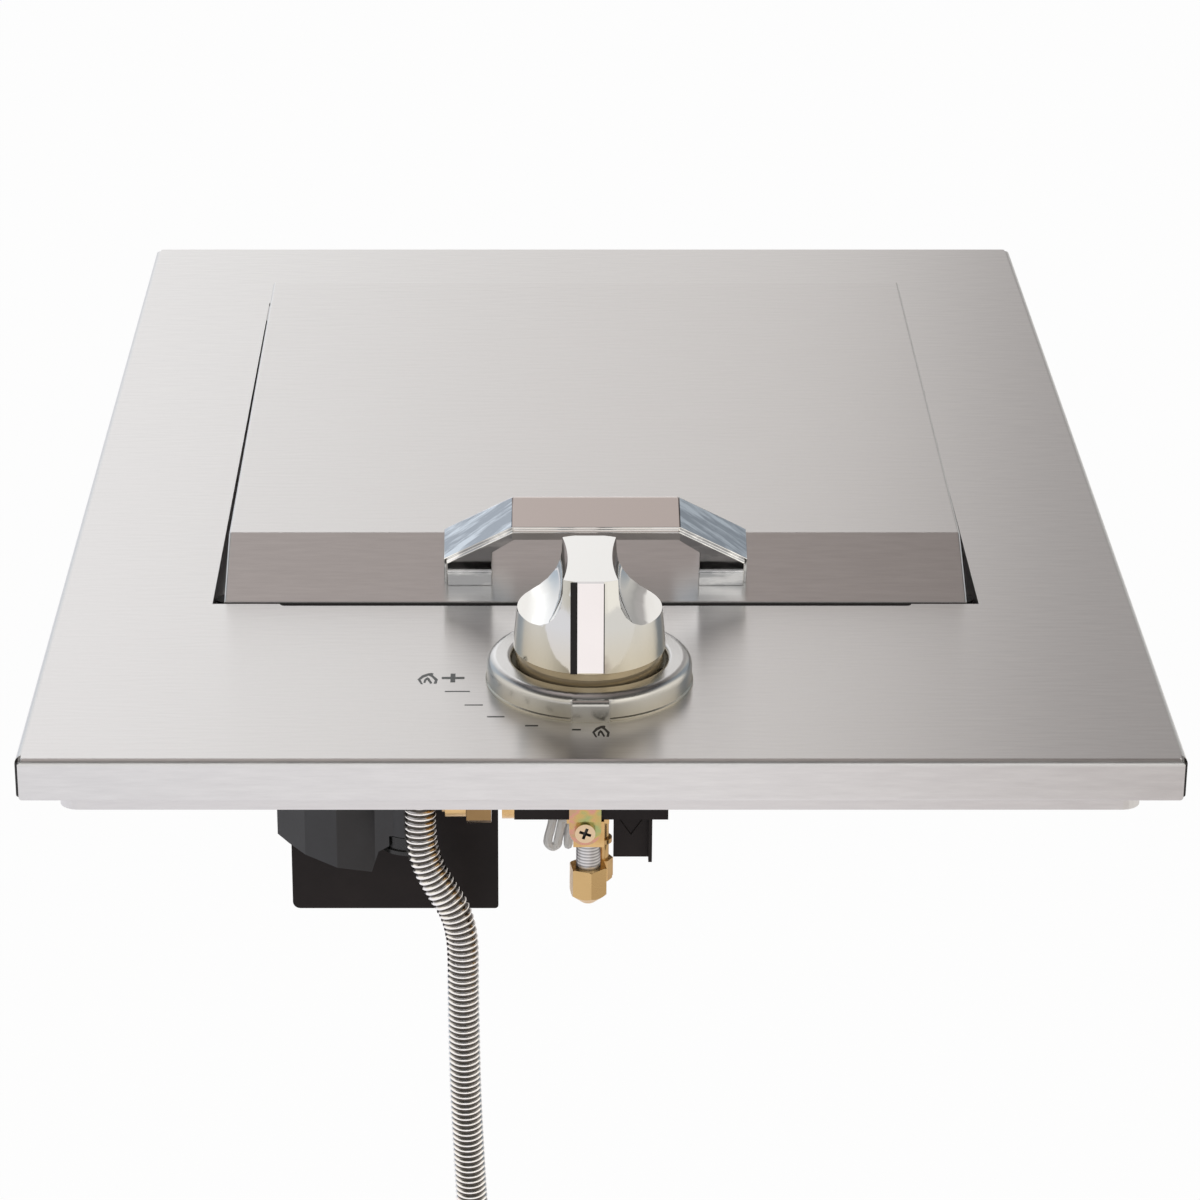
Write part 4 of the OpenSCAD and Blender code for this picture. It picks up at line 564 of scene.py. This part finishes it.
class SideBurnerSizes(bpy.types.PropertyGroup):
    edge_round: bpy.props.FloatProperty(
        name="Edge rounding", description="Radius of the polished edges of knob and handle",
        default=0.00045, min=0.0, max=0.001, unit="LENGTH", precision=5)
    sheet_round: bpy.props.FloatProperty(
        name="Sheet rounding", description="Radius of the sheets' cut edges",
        default=0.0004, min=0.0, max=0.0005, unit="LENGTH", precision=5)
    lid_fold: bpy.props.FloatProperty(
        name="Lid fold", description="Radius of the folds along the lid's sides",
        default=0.0009, min=0.0, max=0.002, unit="LENGTH", precision=5)
    mark_height: bpy.props.FloatProperty(
        name="Mark thickness", description="Thickness of the marks printed on the deck",
        default=0.00005, min=0.00001, max=0.0003, unit="LENGTH", precision=5)
    hose_radius: bpy.props.FloatProperty(
        name="Hose radius", description="Radius of the gas hose over its ribs",
        default=0.0054, min=0.003, max=0.008, unit="LENGTH", precision=5)
    rib_depth: bpy.props.FloatProperty(
        name="Rib depth", description="Depth of the hose's corrugations",
        default=0.0008, min=0.0003, max=0.002, unit="LENGTH", precision=5)
    rib_count: bpy.props.IntProperty(
        name="Ribs", description="Number of ribs along the hose", default=128, min=40, max=200)


class SideBurnerStage(bpy.types.PropertyGroup):
    floor_drop: bpy.props.FloatProperty(
        name="Floor height", description="Height of the studio floor, from the counter plane",
        default=-0.34, unit="LENGTH")
    floor_colour: bpy.props.FloatVectorProperty(
        name="Floor colour", description="Colour of the studio floor", subtype="COLOR",
        size=3, default=(0.9, 0.9, 0.9), min=0.0, max=1.0)


# Camera, fitted to the photograph in its own pixels

FRAME_PIXELS = 1200
FOCAL_PIXELS = 3976.7
CENTRE_PIXEL = 534.63
SENSOR_WIDTH = 36.0
CAMERA_PLACE = (-0.02049, -1.3606, 0.5392)
CAMERA_TILT = 0.4027


class SIDEBURNER_OT_camera(bpy.types.Operator):
    """Adds the camera at the viewing angle of the photograph"""
    bl_idname = "sideburner.camera"
    bl_label = "Camera"

    def execute(self, context):
        lens = bpy.data.cameras.new("photo_camera")
        lens.sensor_width = SENSOR_WIDTH
        lens.lens = SENSOR_WIDTH * FOCAL_PIXELS / FRAME_PIXELS
        lens.shift_x = (FRAME_PIXELS / 2 - CENTRE_PIXEL) / FRAME_PIXELS
        camera = bpy.data.objects.new("photo_camera", lens)
        context.scene.collection.objects.link(camera)
        camera.location = CAMERA_PLACE
        camera.rotation_euler = (math.radians(90) - CAMERA_TILT, 0, 0)
        context.scene.camera = camera
        return {"FINISHED"}


# Gas hose: it leaves the elbow at its start and hangs along the route, given from there

HOSE_START = Vector((-0.058, -0.1925, -0.028))
HOSE_ROUTE = [
    (0, 0, 0), (0, 0, -0.0055), (0, 0, -0.011), (0.0008, 0, -0.019), (0.0031, 0, -0.0266),
    (0.0068, 0, -0.0337), (0.0106, 0, -0.0408), (0.0129, 0, -0.0484), (0.0137, 0, -0.0564),
    (0.0137, 0, -0.066), (0.0138, 0.0001, -0.082), (0.0143, 0.0005, -0.112),
    (0.0155, 0.0015, -0.142), (0.017, 0.0025, -0.172), (0.0181, 0.0035, -0.202),
    (0.0185, 0.004, -0.232), (0.0185, 0.004, -0.252), (0.0185, 0.004, -0.265),
]
RINGS_A_RIB = 8
HOSE_SIDES = 36
HOSE_SHARP = 60


def smooth_route(points, steps=6):
    """A smooth line through the route's points."""
    line = []
    for i in range(len(points) - 1):
        a, b = points[max(i - 1, 0)], points[i]
        c, d = points[i + 1], points[min(i + 2, len(points) - 1)]
        for k in range(steps):
            t = k / steps
            line.append(b + t / 2 * (c - a) + t * t / 2 * (2 * a - 5 * b + 4 * c - d)
                        + t ** 3 / 2 * (3 * b - a - 3 * c + d))
    return line + [points[-1]]


def spaced(line, count):
    """The line as count + 1 points at equal distances, and its length."""
    run = [0.0]
    for a, b in zip(line, line[1:]):
        run.append(run[-1] + (b - a).length)
    out, k = [], 0
    for i in range(count + 1):
        want = run[-1] * i / count
        while k < len(run) - 2 and run[k + 1] < want:
            k += 1
        share = (want - run[k]) / (run[k + 1] - run[k])
        out.append(line[k].lerp(line[k + 1], min(max(share, 0.0), 1.0)))
    return out, run[-1]


def ring_places(points):
    """For each point of a line, the matrix that stands a flat ring square to the line there."""
    places = []
    for i, point in enumerate(points):
        ahead = (points[min(i + 1, len(points) - 1)] - points[max(i - 1, 0)]).normalized()
        across = ahead.cross(Vector((0, 1, 0))).normalized()
        turn = Matrix((across, across.cross(ahead), -ahead)).transposed()
        places.append(Matrix.Translation(point) @ turn.to_4x4())
    return places


class SIDEBURNER_OT_hose(bpy.types.Operator):
    """Adds the corrugated gas hose, which hangs from the inlet elbow"""
    bl_idname = "sideburner.hose"
    bl_label = "Gas hose"

    def execute(self, context):
        sizes = context.scene.side_burner_sizes
        route = [HOSE_START + Vector(p) for p in HOSE_ROUTE]
        points, length = spaced(smooth_route(route), sizes.rib_count * RINGS_A_RIB)
        shape = bmesh.new()
        # Each ring's depth in its rib, which sets the painted shade in the valleys
        valley_shade = shape.verts.layers.float.new("valley_shade")
        for i, place in enumerate(ring_places(points)):
            wave = 0.5 - 0.5 * math.cos(2 * math.pi * i / RINGS_A_RIB)
            ring = bmesh.ops.create_circle(
                shape, segments=HOSE_SIDES, radius=sizes.hose_radius - sizes.rib_depth * wave,
                matrix=place, cap_ends=i in (0, len(points) - 1))["verts"]
            for vert in ring:
                vert[valley_shade] = wave
        bmesh.ops.bridge_loops(shape, edges=shape.edges)
        bmesh.ops.recalc_face_normals(shape, faces=shape.faces)
        hose = piece_from(mesh_of(shape, "gas_hose", HOSE_SHARP), "gas_hose", "deck", "hose_steel")
        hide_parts("hose")
        return {"FINISHED"}


# Solids of the CAD part


class SIDEBURNER_OT_carried(bpy.types.Operator):
    """Gives every carried-over solid its finish"""
    bl_idname = "sideburner.carried"
    bl_label = "Carried-over solids"

    def execute(self, context):
        for name, node in frame["nodes"].items():
            finish = finish_of(SLOT_OF[name])
            if not node.material_slots:
                node.data.materials.append(finish)
            for place in node.material_slots:
                place.material = finish
        return {"FINISHED"}


class SIDEBURNER_OT_castings(bpy.types.Operator):
    """Rounds the edges of the plated castings: knob, bezel and handle"""
    bl_idname = "sideburner.castings"
    bl_label = "Knob, bezel and handle"

    def execute(self, context):
        sizes = context.scene.side_burner_sizes
        dressed_copy("knob", "knob", sizes.edge_round, 35)
        dressed_copy("bezel", "deck", sizes.edge_round, 35)
        dressed_copy("handle", "lid", sizes.edge_round, 25)
        return {"FINISHED"}


# The lid's side folds end this far under the deck's top, past the rounding of its lip
FOLD_DEPTH = 0.0015
FOLD_TURN = math.radians(45)
ON_SIDE = 1e-5


def side_fold(edge):
    """Whether an edge of the lid is a fold along one of its two sides."""
    return edge.calc_face_angle(0) > FOLD_TURN and all(
        abs(abs(vert.co.x) - LID_HALF) < ON_SIDE and vert.co.z > DECK_TOP - FOLD_DEPTH
        for vert in edge.verts)


class SIDEBURNER_OT_sheets(bpy.types.Operator):
    """Smooths the folded sheets: deck and lid"""
    bl_idname = "sideburner.sheets"
    bl_label = "Deck and lid"

    def execute(self, context):
        sizes = context.scene.side_burner_sizes
        dressed_copy("deck_panel", "deck", sizes.sheet_round / 2, 30)
        dressed_copy("lid_shell", "lid", sizes.sheet_round / 3, 30, 2, side_fold, sizes.lid_fold)
        return {"FINISHED"}


# Marks printed on the deck, in millimetres from its middle. A bar is given by its left and
# right end, its middle line and its thickness, and a flame by the box around it.

TICKS = (
    (-49.2, -41.2, -202.3, 0.7), (-42.7, -36.9, -212.7, 0.7), (-35.5, -30.0, -221.6, 0.8),
    (-23.5, -19.4, -228.3, 1.0), (-8.8, -6.0, -231.3, 1.0),
)
PLUS_OUTLINE = (
    (-50.4, -192.6), (-47.6, -192.6), (-47.6, -195.2), (-46.0, -195.2), (-46.0, -192.6),
    (-43.1, -192.6), (-43.1, -191.0), (-46.0, -191.0), (-46.0, -188.4), (-47.6, -188.4),
    (-47.6, -191.0), (-50.4, -191.0),
)
HIGH_FLAME = (-58.2, -51.6, -196.6, -187.9)
LOW_FLAME = (-2.5, 3.0, -236.9, -228.2)
# A flame's two strokes, as shares of its box
FLAME_STROKES = (
    ((0.18, 0.0), (0.0, 0.42), (0.22, 0.79), (0.51, 0.97), (0.68, 1.0), (0.77, 0.96),
     (0.74, 0.80), (1.0, 0.42), (0.94, 0.04), (0.80, 0.04), (0.85, 0.34), (0.70, 0.62),
     (0.54, 0.78), (0.30, 0.60), (0.14, 0.40), (0.28, 0.0)),
    ((0.30, 0.12), (0.33, 0.41), (0.47, 0.62), (0.57, 0.52), (0.73, 0.10), (0.64, 0.02),
     (0.48, 0.40), (0.43, 0.32), (0.40, 0.12)),
)
MARK_SHARP = 32


def flat_mark(name, outlines, height):
    """A thin printed mark from closed outlines."""
    shape = bmesh.new()
    for outline in outlines:
        shape.faces.new([shape.verts.new((x / 1000, y / 1000, DECK_TOP)) for x, y in outline])
    grown = bmesh.ops.extrude_face_region(shape, geom=list(shape.faces))
    tops = [v for v in grown["geom"] if isinstance(v, bmesh.types.BMVert)]
    bmesh.ops.translate(shape, verts=tops, vec=(0, 0, height))
    bmesh.ops.recalc_face_normals(shape, faces=shape.faces)
    piece_from(mesh_of(shape, name, MARK_SHARP), name, "deck", "mark_black")


def bar(x0, x1, y, thick):
    return [(x0, y - thick / 2), (x1, y - thick / 2), (x1, y + thick / 2), (x0, y + thick / 2)]


def flame(x0, x1, y0, y1):
    """A plain flame's two strokes in its box."""
    return [[(x0 + u * (x1 - x0), y0 + v * (y1 - y0)) for u, v in stroke]
            for stroke in FLAME_STROKES]


class SIDEBURNER_OT_marks(bpy.types.Operator):
    """Prints the heat marks on the deck: a high flame, a plus, ticks and a low flame"""
    bl_idname = "sideburner.marks"
    bl_label = "Deck marks"

    def execute(self, context):
        height = context.scene.side_burner_sizes.mark_height
        for number, tick in enumerate(TICKS, 1):
            flat_mark("heat_tick_%d" % number, [bar(*tick)], height)
        flat_mark("high_plus", [PLUS_OUTLINE], height)
        flat_mark("high_flame", flame(*HIGH_FLAME), height)
        flat_mark("low_flame", flame(*LOW_FLAME), height)
        return {"FINISHED"}


# Studio

FLOOR_HALF = 9.0
# The floor's light runs from left to right between these distances from the middle
FLOOR_LIGHT_REACH = 0.8
# Share of its own light that the floor shows; the rest is what falls on it
FLOOR_GLOW = 0.97
# What the steel mirrors of the floor, from left to right
FLOOR_LIGHT = (
    (0.25, (1.04, 1.03, 1.07)), (0.55, (1.10, 1.06, 1.07)), (0.75, (0.52, 0.46, 0.45)),
    (0.93, (1.0, 0.97, 0.92)),
)
# Light by direction: from below to overhead, from left to right, and the same in front
HEIGHT_LIGHT = (
    (0.0, (0.9, 0.9, 0.9)), (0.5, (1.0, 1.0, 1.0)), (0.66, (1.1, 1.1, 1.09)),
    (0.79, (0.98, 0.95, 0.93)), (0.83, (0.66, 0.62, 0.60)), (0.86, (0.10, 0.09, 0.09)),
    (0.91, (0.10, 0.09, 0.09)), (0.945, (0.50, 0.45, 0.43)), (1.0, (0.43, 0.37, 0.35)),
)
SIDE_LIGHT = (
    (0.0, (1.1, 1.06, 1.0)), (0.08, (1.0, 0.97, 0.92)), (0.13, (0.62, 0.70, 0.79)),
    (0.23, (0.62, 0.70, 0.79)), (0.30, (1.0, 1.01, 1.03)), (0.43, (1.52, 1.53, 1.56)),
    (0.47, (1.34, 1.35, 1.36)), (0.5, (1.19, 1.18, 1.18)), (0.54, (1.06, 1.04, 1.03)),
    (0.566, (0.54, 0.52, 0.52)), (0.64, (0.46, 0.45, 0.44)), (0.72, (0.66, 0.64, 0.61)),
    (0.79, (0.36, 0.41, 0.46)), (0.88, (0.36, 0.41, 0.46)), (0.93, (1.1, 1.06, 0.98)),
    (1.0, (1.2, 1.15, 1.06)),
)
FRONT_LIGHT = (
    (0.0, (0.95, 0.92, 0.86)), (0.14, (0.88, 0.85, 0.78)), (0.24, (0.74, 0.70, 0.62)),
    (0.34, (0.88, 0.84, 0.76)), (0.42, (1.0, 0.99, 0.97)), (0.58, (1.0, 0.99, 0.97)),
    (0.66, (0.85, 0.81, 0.73)), (0.74, (1.25, 1.20, 1.10)), (0.88, (1.25, 1.20, 1.10)),
    (1.0, (0.95, 0.92, 0.86)),
)
FRONT_HEIGHT_LIGHT = (
    (0.0, (1.0, 1.0, 1.0)), (0.55, (1.0, 1.0, 1.0)), (0.62, (1.3, 1.3, 1.3)),
    (0.75, (1.3, 1.3, 1.3)), (0.785, (0.1, 0.1, 0.1)), (0.95, (0.1, 0.1, 0.1)),
    (1.0, (0.45, 0.43, 0.42)),
)
# The light in front takes over between these two Y directions
FRONT_RANGE = (0.05, -0.25)


def floor_finish(colour):
    """The camera sees this floor white and metal sees it graded; from below it is clear."""
    finish = new_finish("studio_floor", colour, 0.0, 1.0)
    shader_of(finish).inputs["Specular IOR Level"].default_value = 0.0
    ray = add_node(finish, "ShaderNodeLightPath").outputs
    white = add_node(finish, "ShaderNodeEmission", Strength=1.0)
    mirrored = add_node(finish, "ShaderNodeEmission", Strength=1.0)
    across = spread(finish, object_axes(finish)["X"], 0.0, 1.0,
                    (-FLOOR_LIGHT_REACH, FLOOR_LIGHT_REACH))
    join(finish, ramp_of(finish, across, FLOOR_LIGHT), mirrored.inputs["Color"])
    seen = mix_shaders(finish, ray["Is Glossy Ray"], white.outputs[0], mirrored.outputs[0])
    direct = math_of(finish, "MAXIMUM", ray["Is Camera Ray"], ray["Is Glossy Ray"])
    top = mix_shaders(finish, math_of(finish, "MULTIPLY", direct, FLOOR_GLOW),
                      shader_of(finish).outputs[0], seen)
    under = add_node(finish, "ShaderNodeNewGeometry").outputs["Backfacing"]
    clear = add_node(finish, "ShaderNodeBsdfTransparent").outputs[0]
    join(finish, mix_shaders(finish, under, top, clear),
         finish.node_tree.nodes["Material Output"].inputs["Surface"])
    return finish


def studio_sky(context):
    """Soft studio light that falls off to the right and overhead; the camera sees it white."""
    world = bpy.data.worlds.new("studio_sky")
    context.scene.world = world
    world.use_nodes = True
    world.node_tree.nodes.clear()
    apart = add_node(world, "ShaderNodeSeparateXYZ")
    join(world, add_node(world, "ShaderNodeTexCoord").outputs["Generated"], apart.inputs[0])
    axes = apart.outputs

    def light_along(axis, stops):
        return ramp_of(world, spread(world, axes[axis], 0.0, 1.0, (-1.0, 1.0)), stops)

    behind = mix_colours(world, 1.0, light_along("Z", HEIGHT_LIGHT),
                         light_along("X", SIDE_LIGHT), "MULTIPLY")
    front = mix_colours(world, 1.0, light_along("Z", FRONT_HEIGHT_LIGHT),
                        light_along("X", FRONT_LIGHT), "MULTIPLY")
    ahead = spread(world, axes["Y"], 0.0, 1.0, FRONT_RANGE)
    light = add_node(world, "ShaderNodeBackground", Strength=1.0)
    join(world, mix_colours(world, ahead, behind, front), light.inputs["Color"])
    white = add_node(world, "ShaderNodeBackground", Strength=1.0, Color=(1, 1, 1, 1))
    ray = add_node(world, "ShaderNodeLightPath").outputs
    join(world, mix_shaders(world, ray["Is Camera Ray"], light.outputs[0], white.outputs[0]),
         add_node(world, "ShaderNodeOutputWorld").inputs["Surface"])


class SIDEBURNER_OT_stage(bpy.types.Operator):
    """Adds the pale studio floor and the soft light of the sky"""
    bl_idname = "sideburner.stage"
    bl_label = "Studio"

    def execute(self, context):
        stage = context.scene.side_burner_stage
        shape = bmesh.new()
        bmesh.ops.create_grid(shape, x_segments=1, y_segments=1, size=FLOOR_HALF)
        bmesh.ops.translate(shape, verts=shape.verts, vec=(0, 0, stage.floor_drop))
        mesh = bpy.data.meshes.new("studio_floor")
        shape.to_mesh(mesh)
        shape.free()
        floor = bpy.data.objects.new("studio_floor", mesh)
        context.scene.collection.objects.link(floor)
        mesh.materials.append(floor_finish(tuple(stage.floor_colour)))
        studio_sky(context)
        return {"FINISHED"}


# Panel


class SIDEBURNER_PT_panel(bpy.types.Panel):
    bl_label = "Drop-in Side Burner"
    bl_idname = "SIDEBURNER_PT_panel"
    bl_space_type = "VIEW_3D"
    bl_region_type = "UI"
    bl_category = PANEL_TAB

    def draw(self, context):
        column = self.layout.column()
        for group in (context.scene.side_burner_sizes, context.scene.side_burner_stage):
            for name in group.__annotations__:
                column.prop(group, name)
        for kind in STEPS:
            column.operator(kind.bl_idname)


STEPS = (
    SIDEBURNER_OT_camera, SIDEBURNER_OT_hose, SIDEBURNER_OT_carried, SIDEBURNER_OT_castings,
    SIDEBURNER_OT_sheets, SIDEBURNER_OT_marks, SIDEBURNER_OT_stage,
)
CLASSES = (SideBurnerSizes, SideBurnerStage) + STEPS + (SIDEBURNER_PT_panel,)


def register():
    for kind in CLASSES:
        bpy.utils.register_class(kind)
    bpy.types.Scene.side_burner_sizes = bpy.props.PointerProperty(type=SideBurnerSizes)
    bpy.types.Scene.side_burner_stage = bpy.props.PointerProperty(type=SideBurnerStage)


def unregister():
    del bpy.types.Scene.side_burner_stage
    del bpy.types.Scene.side_burner_sizes
    for kind in reversed(CLASSES):
        bpy.utils.unregister_class(kind)


def main():
    register()
    bpy.context.scene.view_settings.view_transform = "Standard"
    bpy.ops.sideburner.camera()
    bpy.ops.sideburner.hose()
    bpy.ops.sideburner.carried()
    bpy.ops.sideburner.castings()
    bpy.ops.sideburner.sheets()
    bpy.ops.sideburner.marks()
    bpy.ops.sideburner.stage()


if __name__ == "__main__":
    main()
